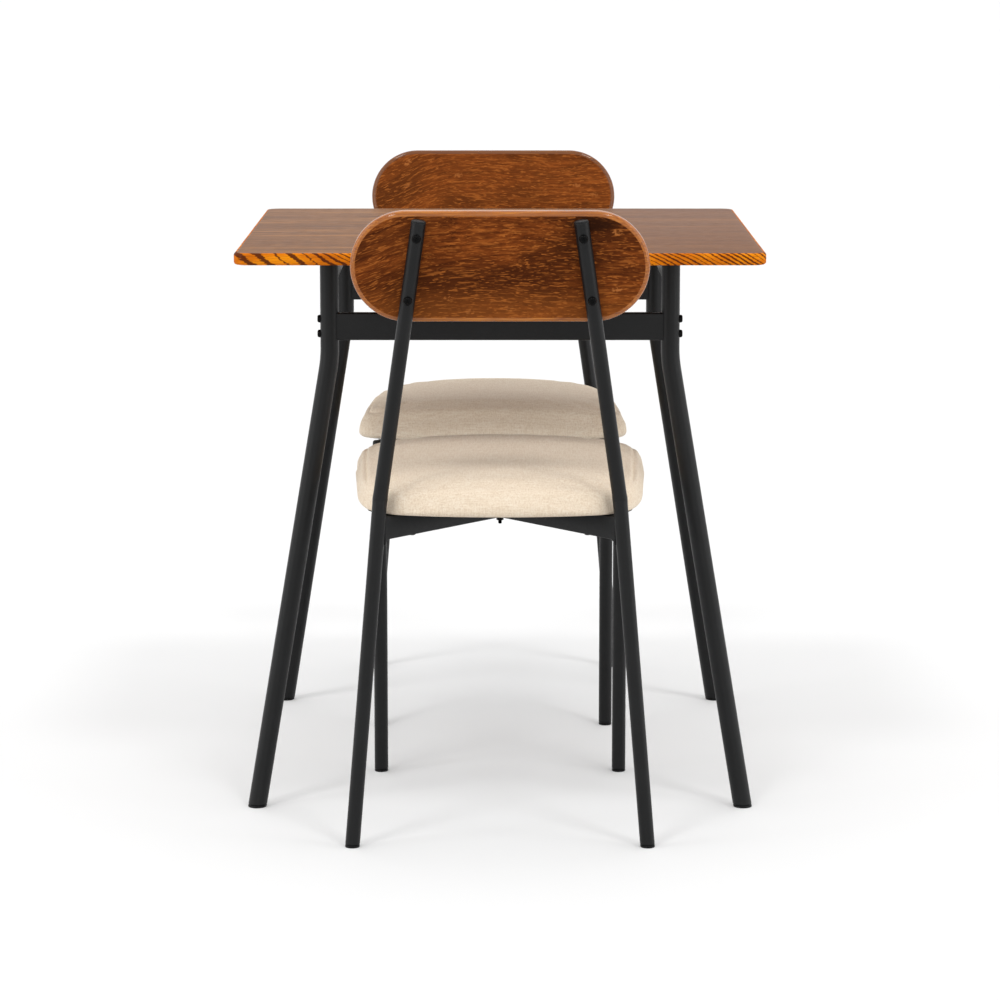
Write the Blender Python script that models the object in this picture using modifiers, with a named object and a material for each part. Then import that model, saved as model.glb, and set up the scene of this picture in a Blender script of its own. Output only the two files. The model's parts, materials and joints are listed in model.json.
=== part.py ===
"""Dining table with two chairs: wooden top and backrests, bent steel tubes, upholstered seats.

Metres, +Z up. The origin is on the floor, midway between the two chairs. +X is to the right and +Y runs
from the near chair to the far one. Each chair is drawn once about its own origin, facing +Y, and is then
placed twice, the far one turned round to face the near one.
"""

import math

import bmesh
import bpy
from mathutils import Matrix, Vector

# Clearances, and how far a cutter runs past what it cuts
GAP = 0.0003
HOLE_CLEARANCE = 0.0003
CUTTER_OVERRUN = 0.020

# Where the three pieces of furniture stand
CHAIR_DISTANCE = 0.347
FAR_CHAIR_SIDESTEP = -0.0105
TABLE_SIDESTEP = -0.015

# Table top
TABLE_WIDTH = 0.700
TABLE_DEPTH = 0.700
TABLE_HEIGHT = 0.750
TOP_THICKNESS = 0.016
TOP_CORNER_RADIUS = 0.020
TOP_EDGE_RADIUS = 0.004

# Table legs: upright below the top, then splayed towards the floor
LEG_RADIUS = 0.0125
LEG_WALL = 0.0015
LEG_X = 0.2287
LEG_Y = 0.2472
LEG_SPLAY_X = 0.0988
LEG_SPLAY_Y = 0.0803
LEG_BEND_RADIUS = 0.150
LEG_BEND_DROP = 0.0254
LEG_SIDES = 14

# Side rails and cross beams, both rectangular tube
RAIL_HEIGHT = 0.036
RAIL_WIDTH = 0.016
BEAM_HEIGHT = 0.0365
BEAM_WIDTH = 0.016
BEAM_DROP = 0.0371
SECTION_WALL = 0.0015
BEAM_END_PLATE = 0.006

# Beam bolts and top screws
BOLT_RADIUS = 0.003
BOLT_HEAD_RADIUS = 0.0053
BOLT_HEAD_HEIGHT = 0.0035
BOLT_SPACING = 0.020
TOP_SCREW_RADIUS = 0.002
TOP_SCREW_HEAD_RADIUS = 0.004
TOP_SCREW_HEAD_HEIGHT = 0.0022
TOP_SCREW_BITE = 0.010
TOP_SCREW_SPACING = 0.150
SOCKET_RADIUS = 0.0021
SOCKET_DEPTH = 0.0018

# Plugs in the lower ends of the tubes and caps on the upper ends
PLUG_FOOT = 0.0035
PLUG_STEM = 0.014
PLUG_CHAMFER = 0.0008
CAP_HEIGHT = 0.0025
CAP_STEM = 0.010

# Chair tubes
TUBE_RADIUS = 0.0095
TUBE_WALL = 0.0015
TUBE_SIDES = 12
FOOTPRINT_DEPTH = 0.408
BACK_FOOT_X = 0.1907
BACK_BEND_X = 0.1536
BACK_BEND_FORWARD = 0.035
BACK_BEND_HEIGHT = 0.450
BACK_BEND_RADIUS = 0.040
BACK_TOP_X = 0.1017
BACK_TOP_HEIGHT = 0.809
BACK_LEAN = math.radians(8.0)
FRONT_LEG_X = 0.1665

# Backrest
BACKREST_WIDTH = 0.378
BACKREST_HEIGHT = 0.143
BACKREST_THICKNESS = 0.016
BACKREST_EDGE_RADIUS = 0.005
BACKREST_DROP = 0.0576
BACKREST_SCREW_DROP = 0.0588
BACKREST_SCREW_SPACING = 0.079
BACKREST_SCREW_RADIUS = 0.003
BACKREST_SCREW_HEAD_RADIUS = 0.0057
BACKREST_SCREW_HEAD_HEIGHT = 0.0036
BACKREST_SCREW_BITE = 0.010

# Crossed arms under the seat
ARM_TOP = 0.4265
ARM_HEIGHT = 0.030
ARM_WIDTH = 0.015
ARM_FILLET = 0.007
ARM_END_PLATE = 0.004
SEAT_SCREW_INSET = 0.066
SEAT_SCREW_RADIUS = 0.0025
SEAT_SCREW_HEAD_RADIUS = 0.0047
SEAT_SCREW_HEAD_HEIGHT = 0.0022
SEAT_SCREW_BITE = 0.007
CENTRE_BOLT_RADIUS = 0.0025
CENTRE_BOLT_HEAD_RADIUS = 0.0055
CENTRE_BOLT_HEAD_HEIGHT = 0.0022
CENTRE_NUT_RADIUS = 0.0048
CENTRE_NUT_HEIGHT = 0.0045
CENTRE_BOLT_END = 0.0045

# Seat
SEAT_FRONT_WIDTH = 0.404
SEAT_REAR_WIDTH = 0.372
SEAT_DEPTH = 0.405
SEAT_CORNER_RADIUS = 0.030
SEAT_FRONT_BOW = 0.012
SEAT_REAR_BOW = 0.0345
SEAT_SIDE_DRAW = 0.002
SEAT_TUBE_CLEARANCE = 0.0018
SEAT_TUBE_PRESS = 0.0075
SEAT_PRESS_WIDTH = 0.016
SEAT_PRESS_FADE = 0.015
SEAT_CORNER_STEPS = 5
SEAT_EDGE_STEPS = 20
SEAT_TOP_SLOPE = 0.034
COVER_THICKNESS = 0.001
COVER_INSET = 0.016
BOARD_THICKNESS = 0.010
BOARD_INSET = 0.020
CUSHION_TUCK = 0.004
CUSHION_BULGE_HEIGHT = 0.012
CUSHION_SHOULDER_HEIGHT = 0.027
CUSHION_SHOULDER_INSET = 0.0025
CUSHION_SEAM_HEIGHT = 0.036
CUSHION_SEAM_INSET = 0.009
CUSHION_CROWN = 0.016
CUSHION_CROWN_INSETS = (0.018, 0.032, 0.055, 0.085, 0.120, 0.155)

# Colours, each as linear red, green and blue, with roughness and metallic value
COLOURS = {
    "table_wood": ((0.28, 0.17, 0.10), 0.35, 0.0),
    "backrest_wood": ((0.17, 0.045, 0.012), 0.35, 0.0),
    "black_powder_coat": ((0.022, 0.023, 0.024), 0.45, 0.2),
    "black_fastener": ((0.012, 0.012, 0.013), 0.35, 0.6),
    "black_plastic": ((0.015, 0.015, 0.015), 0.50, 0.0),
    "plywood": ((0.50, 0.34, 0.18), 0.60, 0.0),
    "beige_linen": ((0.74, 0.60, 0.43), 0.90, 0.0),
    "black_cloth": ((0.015, 0.015, 0.015), 0.95, 0.0),
}

# Values that follow from the sizes above
LEG_TOP = TABLE_HEIGHT - TOP_THICKNESS - GAP
RAIL_BASE = LEG_TOP - RAIL_HEIGHT
BEAM_BASE = RAIL_BASE - BEAM_DROP - BEAM_HEIGHT
LEG_BEND_HEIGHT = BEAM_BASE - LEG_BEND_DROP
LEG_FOOT_X = LEG_X + LEG_SPLAY_X
LEG_FOOT_Y = LEG_Y + LEG_SPLAY_Y
BACK_FOOT_Y = -FOOTPRINT_DEPTH / 2
FRONT_FOOT_Y = FOOTPRINT_DEPTH / 2
BACK_BEND_Y = BACK_FOOT_Y + BACK_BEND_FORWARD
BACKREST_LEVEL = BACK_TOP_HEIGHT - BACKREST_DROP
BACKREST_SCREW_LEVEL = BACK_TOP_HEIGHT - BACKREST_SCREW_DROP
FRONT_LEG_TOP = ARM_TOP - CAP_HEIGHT
ARM_BASE = ARM_TOP - ARM_HEIGHT
ARM_MIDDLE = ARM_TOP - ARM_HEIGHT / 2
COVER_BASE = ARM_TOP + GAP
SEAT_BASE = COVER_BASE + COVER_THICKNESS + GAP
NORMAL = Vector((0.0, math.cos(BACK_LEAN), math.sin(BACK_LEAN)))


# Scene and materials


def new_collection(name):
    collection = bpy.data.collections.new(name)
    bpy.context.scene.collection.children.link(collection)
    return collection


def clear_scene():
    for item in list(bpy.data.objects):
        bpy.data.objects.remove(item)


def make_materials():
    made = {}
    for name, (colour, roughness, metallic) in COLOURS.items():
        material = bpy.data.materials.new(name)
        material.use_nodes = True
        shader = material.node_tree.nodes["Principled BSDF"]
        shader.inputs["Base Color"].default_value = (*colour, 1.0)
        shader.inputs["Roughness"].default_value = roughness
        shader.inputs["Metallic"].default_value = metallic
        material.diffuse_color = (*colour, 1.0)
        made[name] = material
    return made


clear_scene()
PARTS = new_collection("dining_table_and_chairs")
HELPERS = new_collection("cutters")
MATERIALS = make_materials()


# Mesh tools


def evaluated_mesh(item):
    """The object's mesh with its modifiers applied; the object goes."""
    bpy.context.view_layer.update()
    graph = bpy.context.evaluated_depsgraph_get()
    mesh = bpy.data.meshes.new_from_object(item.evaluated_get(graph))
    bpy.data.objects.remove(item)
    return weld(mesh)


def weld(mesh):
    shape = bmesh.new()
    shape.from_mesh(mesh)
    bmesh.ops.remove_doubles(shape, verts=shape.verts, dist=1e-6)
    bmesh.ops.recalc_face_normals(shape, faces=shape.faces)
    shape.to_mesh(mesh)
    shape.free()
    return mesh


def helper_object(data):
    item = bpy.data.objects.new("helper", data)
    item.hide_render = True
    item.display_type = "WIRE"
    HELPERS.objects.link(item)
    return item


def boolean(mesh, tools, operation="DIFFERENCE"):
    """The mesh with each tool cut from it, or joined to it."""
    body = helper_object(mesh)
    cutters = [helper_object(tool) for tool in tools]
    for cutter in cutters:
        modifier = body.modifiers.new("boolean", "BOOLEAN")
        modifier.operation = operation
        modifier.object = cutter
    result = evaluated_mesh(body)
    for cutter in cutters:
        bpy.data.objects.remove(cutter)
    return result


def moved(mesh, matrix):
    copy = mesh.copy()
    copy.transform(matrix)
    return copy


def box(low, high):
    shape = bmesh.new()
    size = Vector(high) - Vector(low)
    middle = (Vector(high) + Vector(low)) / 2
    place = Matrix.Translation(middle) @ Matrix.Diagonal((*size, 1.0))
    bmesh.ops.create_cube(shape, size=1.0, matrix=place)
    result = bpy.data.meshes.new("box")
    shape.to_mesh(result)
    shape.free()
    return result


def along(start, direction):
    """A matrix that puts the origin at start and turns +Z to the direction."""
    turn = Vector(direction).to_track_quat("Z", "Y").to_matrix().to_4x4()
    return Matrix.Translation(start) @ turn


def rod(start, end, radius, sides=12):
    start = Vector(start)
    span = Vector(end) - start
    shape = bmesh.new()
    place = along(start, span) @ Matrix.Translation((0, 0, span.length / 2))
    bmesh.ops.create_cone(
        shape, cap_ends=True, segments=sides, radius1=radius, radius2=radius, depth=span.length, matrix=place
    )
    result = bpy.data.meshes.new("rod")
    shape.to_mesh(result)
    shape.free()
    return result


def turned(profile, sides):
    """A solid turned about Z from (radius, height) points, which start and end on the axis."""
    mesh = bpy.data.meshes.new("profile")
    points = [(radius, 0.0, height) for radius, height in profile]
    mesh.from_pydata(points, [(k, k + 1) for k in range(len(points) - 1)], [])
    item = helper_object(mesh)
    modifier = item.modifiers.new("turn", "SCREW")
    modifier.steps = sides
    modifier.render_steps = sides
    modifier.use_merge_vertices = True
    modifier.merge_threshold = 1e-5
    return evaluated_mesh(item)


def tube(path, radius, sides):
    """A solid round bar along the path, from a curve with a round bevel and filled caps."""
    curve = bpy.data.curves.new("path", "CURVE")
    curve.dimensions = "3D"
    curve.bevel_depth = radius
    curve.bevel_resolution = (sides - 4) // 2
    curve.use_fill_caps = True
    spline = curve.splines.new("POLY")
    spline.points.add(len(path) - 1)
    for point, place in zip(spline.points, path):
        point.co = (*place, 1.0)
    return evaluated_mesh(helper_object(curve))


def bent_path(start, corner, end, radius, steps=4):
    """Straight from start, round the corner on an arc of the given radius, and straight to the end."""
    start, corner, end = Vector(start), Vector(corner), Vector(end)
    before = (start - corner).normalized()
    after = (end - corner).normalized()
    half_turn = (math.pi - before.angle(after)) / 2
    reach = radius * math.tan(half_turn)
    centre = corner + (before + after).normalized() * (radius / math.cos(half_turn))
    first = corner + before * reach - centre
    last = corner + after * reach - centre
    arc = [centre + first.slerp(last, k / steps).normalized() * radius for k in range(steps + 1)]
    return [start, *arc, end]


def lengthened(path, extra):
    """The path run on by extra at both ends."""
    first = path[0] + (path[0] - path[1]).normalized() * extra
    last = path[-1] + (path[-1] - path[-2]).normalized() * extra
    return [first, *path[1:-1], last]


def open_tube(path, radius, wall, sides, floor, top_plug=0.0, cuts=()):
    """A pipe along the path, cut level above its foot plug, its bore open above or ended by a plug."""
    up = (path[-1] - path[-2]).normalized()
    down = (path[0] - path[1]).normalized()
    low = path[0] + down * CUTTER_OVERRUN
    outer = tube([low, *path[1:]], radius, sides)
    bore_top = path[-1] - up * top_plug if top_plug else path[-1] + up * CUTTER_OVERRUN
    bore = tube([low + down * CUTTER_OVERRUN, *path[1:-1], bore_top], radius - wall, sides)
    margin = 4 * radius
    under = box((low.x - margin, low.y - margin, low.z - margin), (low.x + margin, low.y + margin, floor))
    return boolean(outer, [bore, under, *cuts])


def plate(outline, thickness):
    """A flat plate from its outline in X and Y, with its underside at Z = 0."""
    shape = bmesh.new()
    face = shape.faces.new([shape.verts.new((x, y, 0.0)) for x, y in outline])
    pulled = bmesh.ops.extrude_face_region(shape, geom=[face])
    lifted = [item for item in pulled["geom"] if isinstance(item, bmesh.types.BMVert)]
    bmesh.ops.translate(shape, verts=lifted, vec=(0, 0, thickness))
    bmesh.ops.recalc_face_normals(shape, faces=shape.faces)
    result = bpy.data.meshes.new("plate")
    shape.to_mesh(result)
    shape.free()
    return result


def rounded(mesh, radius, segments=2):
    """The plate with its upper and lower edges rounded."""
    item = helper_object(mesh)
    modifier = item.modifiers.new("edge", "BEVEL")
    modifier.width = radius
    modifier.segments = segments
    modifier.limit_method = "ANGLE"
    modifier.angle_limit = math.radians(50)
    modifier.use_clamp_overlap = True
    return evaluated_mesh(item)


def round_rectangle(width, depth, radius, steps):
    """Outline of a rectangle with round corners, counter-clockwise."""
    outline = []
    for quarter, (sign_x, sign_y) in enumerate(((1, 1), (-1, 1), (-1, -1), (1, -1))):
        centre_x = sign_x * (width / 2 - radius)
        centre_y = sign_y * (depth / 2 - radius)
        for k in range(steps + 1):
            turn = (quarter + k / steps) * math.pi / 2
            outline.append((centre_x + radius * math.cos(turn), centre_y + radius * math.sin(turn)))
    return outline


def rectangular_tube(low, high, wall, end_plate):
    """The outside and the inside of a rectangular tube along X or Y. A negative end plate leaves it open."""
    low, high = Vector(low), Vector(high)
    inset = Vector((wall, wall, wall))
    length_axis = 0 if high.x - low.x > high.y - low.y else 1
    inset[length_axis] = end_plate
    return box(low, high), box(low + inset, high - inset)


def show(mesh, name, material, parent):
    """The mesh as a named part of the object, shaded smooth on its round faces."""
    item = bpy.data.objects.new(name, mesh)
    if not mesh.materials:
        mesh.materials.append(MATERIALS[material])
        mesh.shade_smooth()
        mesh.set_sharp_from_angle(angle=math.radians(35))
    PARTS.objects.link(item)
    item.parent = parent
    return item


def place_empty(name, location, turn=0.0):
    item = bpy.data.objects.new(name, None)
    item.location = location
    item.rotation_euler.z = turn
    PARTS.objects.link(item)
    return item


# Fasteners, drawn with the head's seat at Z = 0 and the shank along +Z


def button_screw(head_radius, head_height, radius, length, sides=10, socket=True):
    profile = [
        (0.0, -head_height),
        (head_radius * 0.60, -head_height),
        (head_radius * 0.92, -head_height * 0.60),
        (head_radius, 0.0),
        (radius, 0.0),
        (radius, length),
        (0.0, length),
    ]
    screw = turned(profile, sides)
    if not socket:
        return screw
    key = rod((0, 0, -head_height - SOCKET_DEPTH), (0, 0, SOCKET_DEPTH - head_height), SOCKET_RADIUS, 6)
    return boolean(screw, [key])


def foot_plug(radius, bore, direction):
    """A plug in the foot of a leaning tube: its sole and its shoulder stay level."""
    stem = bore - GAP
    profile = [
        (0.0, PLUG_FOOT + PLUG_STEM),
        (stem - PLUG_CHAMFER, PLUG_FOOT + PLUG_STEM),
        (stem, PLUG_FOOT + PLUG_STEM - PLUG_CHAMFER),
        (stem, PLUG_FOOT),
        (radius, PLUG_FOOT),
        (radius, PLUG_CHAMFER),
        (radius - PLUG_CHAMFER, 0.0),
        (0.0, 0.0),
    ]
    slope_x = direction.x / direction.z
    slope_y = direction.y / direction.z
    tilt = math.atan(math.hypot(slope_x, slope_y))
    heading = Matrix.Rotation(math.atan2(slope_y, slope_x), 4, "Z")
    stretch = heading @ Matrix.Diagonal((1 / math.cos(tilt), 1.0, 1.0, 1.0)) @ heading.inverted()
    shear = Matrix(((1, 0, slope_x, 0), (0, 1, slope_y, 0), (0, 0, 1, 0), (0, 0, 0, 1)))
    return moved(turned(profile, TUBE_SIDES), shear @ stretch)


def capped(pipe, path):
    """The pipe with a domed cap pressed into its upper end, where its bore ends."""
    rim = TUBE_RADIUS - GAP
    profile = [
        (0.0, CAP_HEIGHT),
        (rim * 0.75, CAP_HEIGHT),
        (rim, CAP_HEIGHT * 0.45),
        (rim, -CAP_STEM / 2),
        (0.0, -CAP_STEM / 2),
    ]
    cap = moved(turned(profile, TUBE_SIDES), along(path[-1], path[-1] - path[-2]))
    return boolean(pipe, [cap], "UNION")


# Table


def leg_path(side, end):
    """Centre line of a table leg from floor to top. side is -1 left or 1 right, end -1 near or 1 far."""
    foot = Vector((side * LEG_FOOT_X, end * LEG_FOOT_Y, 0.0))
    bend = Vector((side * LEG_X, end * LEG_Y, LEG_BEND_HEIGHT))
    top = Vector((side * LEG_X, end * LEG_Y, LEG_TOP))
    return bent_path(foot, bend, top, LEG_BEND_RADIUS)


def bolt_levels():
    middle = BEAM_BASE + BEAM_HEIGHT / 2
    return (middle - BOLT_SPACING / 2, middle + BOLT_SPACING / 2)


def table_leg(side, end):
    hole = BOLT_RADIUS + HOLE_CLEARANCE
    reach = 2 * LEG_RADIUS
    holes = [
        rod((side * LEG_X - reach, end * LEG_Y, z), (side * LEG_X + reach, end * LEG_Y, z), hole, 8)
        for z in bolt_levels()
    ]
    return open_tube(leg_path(side, end), LEG_RADIUS, LEG_WALL, LEG_SIDES, PLUG_FOOT + GAP, cuts=holes)


def upright_cutter(side, end):
    """The space that a leg's upright part takes, with the gap round it."""
    foot = (side * LEG_X, end * LEG_Y, LEG_BEND_HEIGHT)
    return rod(foot, (side * LEG_X, end * LEG_Y, TABLE_HEIGHT), LEG_RADIUS + GAP, 2 * LEG_SIDES)


def top_screw_places():
    return [
        (side * LEG_X, step * TOP_SCREW_SPACING) for side in (-1, 1) for step in (-1, 0, 1)
    ]


def table_top():
    """The panel, with a blind hole below for each screw."""
    outline = round_rectangle(TABLE_WIDTH, TABLE_DEPTH, TOP_CORNER_RADIUS, 5)
    top = rounded(plate(outline, TOP_THICKNESS), TOP_EDGE_RADIUS)
    under = TABLE_HEIGHT - TOP_THICKNESS
    top.transform(Matrix.Translation((0, 0, under)))
    depth = TOP_SCREW_BITE + GAP
    hole = TOP_SCREW_RADIUS + HOLE_CLEARANCE
    holes = [rod((x, y, under - depth), (x, y, under + depth), hole, 8) for x, y in top_screw_places()]
    return boolean(top, holes)


def top_screw():
    """A screw through a side rail into the top, with its head sunk by the gap in the rail's underside."""
    length = RAIL_HEIGHT + TOP_SCREW_BITE
    return button_screw(
        TOP_SCREW_HEAD_RADIUS, TOP_SCREW_HEAD_HEIGHT, TOP_SCREW_RADIUS, length, 8, socket=False
    )


def side_rail(side):
    """A rail, open at its ends and coped round the legs, with its three screws tight in it."""
    half = RAIL_WIDTH / 2
    low = (side * LEG_X - half, -LEG_Y, RAIL_BASE)
    high = (side * LEG_X + half, LEG_Y, LEG_TOP)
    outer, inner = rectangular_tube(low, high, SECTION_WALL, -SECTION_WALL)
    rail = boolean(outer, [inner, upright_cutter(side, -1), upright_cutter(side, 1)])
    screw = top_screw()
    screws = [
        moved(screw, Matrix.Translation((x, y, RAIL_BASE + GAP)))
        for x, y in top_screw_places()
        if x * side > 0
    ]
    return boolean(rail, screws, "UNION")


def cross_beam(end):
    half = BEAM_WIDTH / 2
    low = (-LEG_X, end * LEG_Y - half, BEAM_BASE)
    high = (LEG_X, end * LEG_Y + half, BEAM_BASE + BEAM_HEIGHT)
    outer, inner = rectangular_tube(low, high, SECTION_WALL, LEG_RADIUS + BEAM_END_PLATE)
    hole = BOLT_RADIUS + HOLE_CLEARANCE
    holes = [
        rod((side * LEG_X * 0.5, end * LEG_Y, z), (side * LEG_X, end * LEG_Y, z), hole, 8)
        for side in (-1, 1)
        for z in bolt_levels()
    ]
    return boolean(outer, [inner, upright_cutter(-1, end), upright_cutter(1, end), *holes])


def beam_bolts(side, end):
    """The two bolts through one leg into the cross beam, as name and mesh."""
    length = 2 * LEG_RADIUS + GAP + BEAM_END_PLATE
    bolt = button_screw(BOLT_HEAD_RADIUS, BOLT_HEAD_HEIGHT, BOLT_RADIUS, length)
    seat = side * (LEG_X + LEG_RADIUS + GAP)
    return [
        (name, moved(bolt, along((seat, end * LEG_Y, z), (-side, 0, 0))))
        for name, z in zip(("lower_bolt", "upper_bolt"), bolt_levels())
    ]


def build_table():
    origin = place_empty("table_place", (0, TABLE_SIDESTEP, 0))
    show(table_top(), "table_top", "table_wood", origin)
    for side, side_name in ((-1, "left"), (1, "right")):
        show(side_rail(side), side_name + "_side_rail", "black_powder_coat", origin)
        for end, end_name in ((-1, "near"), (1, "far")):
            corner = end_name + "_" + side_name + "_"
            path = leg_path(side, end)
            plug = foot_plug(LEG_RADIUS, LEG_RADIUS - LEG_WALL, path[1] - path[0])
            plug.transform(Matrix.Translation(path[0]))
            show(table_leg(side, end), corner + "leg", "black_powder_coat", origin)
            show(plug, corner + "foot_plug", "black_plastic", origin)
            for name, bolt in beam_bolts(side, end):
                show(bolt, corner + name, "black_fastener", origin)
    for end, end_name in ((-1, "near"), (1, "far")):
        show(cross_beam(end), end_name + "_cross_beam", "black_powder_coat", origin)


# Chair frame


def back_point(side, height):
    """The point on a back tube's centre line at a height, above or below its bend."""
    if height < BACK_BEND_HEIGHT:
        share = height / BACK_BEND_HEIGHT
        x = BACK_FOOT_X + (BACK_BEND_X - BACK_FOOT_X) * share
        y = BACK_FOOT_Y + BACK_BEND_FORWARD * share
    else:
        share = (height - BACK_BEND_HEIGHT) / (BACK_TOP_HEIGHT - BACK_BEND_HEIGHT)
        x = BACK_BEND_X + (BACK_TOP_X - BACK_BEND_X) * share
        y = BACK_BEND_Y - (height - BACK_BEND_HEIGHT) * math.tan(BACK_LEAN)
    return Vector((side * x, y, height))


def back_tube_path(side):
    ends = [back_point(side, height) for height in (0.0, BACK_BEND_HEIGHT, BACK_TOP_HEIGHT)]
    return bent_path(*ends, BACK_BEND_RADIUS, 3)


def front_leg_path(side):
    foot = Vector((side * FRONT_LEG_X, FRONT_FOOT_Y, 0.0))
    return [foot, foot + Vector((0, 0, FRONT_LEG_TOP))]


def backrest_screw_points(side):
    levels = [BACKREST_SCREW_LEVEL + sign * BACKREST_SCREW_SPACING / 2 for sign in (-1, 1)]
    return [back_point(side, level) for level in levels]


def chair_tube(path, cuts=()):
    pipe = open_tube(path, TUBE_RADIUS, TUBE_WALL, TUBE_SIDES, PLUG_FOOT + GAP, CAP_STEM, cuts)
    return capped(pipe, path)


def back_tube(side):
    reach = NORMAL * 2 * TUBE_RADIUS
    hole = BACKREST_SCREW_RADIUS + HOLE_CLEARANCE
    holes = [rod(point - reach, point + reach, hole, 8) for point in backrest_screw_points(side)]
    return chair_tube(back_tube_path(side), holes)


def front_leg(side):
    return chair_tube(front_leg_path(side))


def chair_foot_plug(path):
    plug = foot_plug(TUBE_RADIUS, TUBE_RADIUS - TUBE_WALL, path[1] - path[0])
    return moved(plug, Matrix.Translation(path[0]))


def arm_ends(side):
    """The axes of the two tubes that an arm joins: from the back tube on one side to the other front leg."""
    start = back_point(side, ARM_MIDDLE)
    end = Vector((-side * FRONT_LEG_X, FRONT_FOOT_Y, ARM_MIDDLE))
    return start, end


def arm_frame(side):
    """A matrix with X along the arm from the back tube's axis, Z up and Y across; and the arm's length."""
    start, end = arm_ends(side)
    span = end - start
    turn = Matrix.Rotation(math.atan2(span.y, span.x), 4, "Z")
    return Matrix.Translation((start.x, start.y, 0.0)) @ turn, span.length


def crossing():
    """The plan position where the two arms cross, on the chair's centre line."""
    start, end = arm_ends(1)
    share = start.x / (start.x - end.x)
    point = start.lerp(end, share)
    return point.x, point.y


def arm_outline(length):
    """Side view of an arm, in its length and height, with a fillet below it at each tube."""
    low = []
    for k in range(4):
        turn = math.radians(180 - 30 * k)
        low.append((
            TUBE_RADIUS + ARM_FILLET * (1 + math.cos(turn)),
            ARM_BASE - ARM_FILLET * (1 - math.sin(turn)),
        ))
    start = [(0.0, low[0][1]), *low]
    end = [(length - x, z) for x, z in reversed(start)]
    return [*start, *end, (length, ARM_TOP), (0.0, ARM_TOP)]


def arm_blank(length, width):
    """The arm's outline pulled out to its width, along its own X."""
    blank = plate(arm_outline(length), width)
    stand = Matrix(((1, 0, 0, 0), (0, 0, 1, -width / 2), (0, 1, 0, 0), (0, 0, 0, 1)))
    blank.transform(stand)
    return weld(blank)


def seat_screw_places(side):
    """Plan positions of the two seat screws in one arm."""
    frame, length = arm_frame(side)
    points = [frame @ Vector((reach, 0, 0)) for reach in (SEAT_SCREW_INSET, length - SEAT_SCREW_INSET)]
    return [(point.x, point.y) for point in points]


def seat_screw():
    """A screw through an arm into the seat board, with its head sunk by the gap in the arm's underside."""
    length = ARM_HEIGHT + GAP + COVER_THICKNESS + SEAT_SCREW_BITE
    return button_screw(
        SEAT_SCREW_HEAD_RADIUS, SEAT_SCREW_HEAD_HEIGHT, SEAT_SCREW_RADIUS, length, 8, socket=False
    )


def arm(side):
    """One crossed arm with its two seat screws tight in it. The right back tube's arm is the upper one."""
    frame, length = arm_frame(side)
    other_frame, other_length = arm_frame(-side)
    blank = arm_blank(length, ARM_WIDTH)
    blank.transform(frame)
    closed_end = TUBE_RADIUS + ARM_END_PLATE
    inside = box(
        (closed_end, SECTION_WALL - ARM_WIDTH / 2, ARM_BASE + SECTION_WALL),
        (length - closed_end, ARM_WIDTH / 2 - SECTION_WALL, ARM_TOP - SECTION_WALL),
    )
    inside.transform(frame)
    if side > 0:
        notch_low, notch_high = ARM_BASE - CUTTER_OVERRUN, ARM_MIDDLE + GAP / 2
    else:
        notch_low, notch_high = ARM_MIDDLE - GAP / 2, ARM_TOP + CUTTER_OVERRUN
    notch = box(
        (closed_end, -ARM_WIDTH / 2 - GAP, notch_low),
        (other_length - closed_end, ARM_WIDTH / 2 + GAP, notch_high),
    )
    notch.transform(other_frame)
    back = tube(lengthened(back_tube_path(side), CUTTER_OVERRUN), TUBE_RADIUS + GAP, TUBE_SIDES)
    front = tube(lengthened(front_leg_path(-side), CUTTER_OVERRUN), TUBE_RADIUS + GAP, TUBE_SIDES)
    x, y = crossing()
    bolt_low, bolt_high = ARM_BASE - CUTTER_OVERRUN, ARM_TOP + CUTTER_OVERRUN
    bolt_hole = rod((x, y, bolt_low), (x, y, bolt_high), CENTRE_BOLT_RADIUS + HOLE_CLEARANCE, 8)
    bar = boolean(blank, [inside, notch, back, front, bolt_hole])
    screw = seat_screw()
    screws = [
        moved(screw, Matrix.Translation((x, y, ARM_BASE + GAP))) for x, y in seat_screw_places(side)
    ]
    return boolean(bar, screws, "UNION")


def centre_bolt():
    """Drawn head up on the arms' top face, with its nut below and its end below the nut."""
    x, y = crossing()
    length = ARM_HEIGHT + 2 * GAP + CENTRE_NUT_HEIGHT + CENTRE_BOLT_END
    bolt = button_screw(
        CENTRE_BOLT_HEAD_RADIUS, CENTRE_BOLT_HEAD_HEIGHT, CENTRE_BOLT_RADIUS, length, socket=False
    )
    bolt.transform(along((x, y, ARM_TOP + GAP), (0, 0, -1)))
    nut_top = ARM_BASE - GAP
    nut = rod((x, y, nut_top - CENTRE_NUT_HEIGHT), (x, y, nut_top), CENTRE_NUT_RADIUS, 6)
    return boolean(bolt, [nut], "UNION")


# Backrest


def backrest_frame():
    """A matrix from the backrest's own flat frame, with its thickness along Z, to the chair."""
    middle = back_point(1, BACKREST_LEVEL)
    offset = (TUBE_RADIUS + GAP + BACKREST_THICKNESS / 2) / math.cos(BACK_LEAN)
    place = Matrix.Translation((0, middle.y + offset, BACKREST_LEVEL))
    return place @ Matrix.Rotation(BACK_LEAN - math.pi / 2, 4, "X")


def backrest():
    outline = round_rectangle(BACKREST_WIDTH, BACKREST_HEIGHT, BACKREST_HEIGHT / 2 - GAP, 8)
    panel = plate(outline, BACKREST_THICKNESS)
    panel.transform(Matrix.Translation((0, 0, -BACKREST_THICKNESS / 2)))
    panel = rounded(panel, BACKREST_EDGE_RADIUS)
    panel.transform(backrest_frame())
    holes = []
    for side in (-1, 1):
        for point in backrest_screw_points(side):
            depth = TUBE_RADIUS + 2 * GAP + BACKREST_SCREW_BITE
            holes.append(rod(point, point + NORMAL * depth, BACKREST_SCREW_RADIUS + HOLE_CLEARANCE, 8))
    return boolean(panel, holes)


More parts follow.
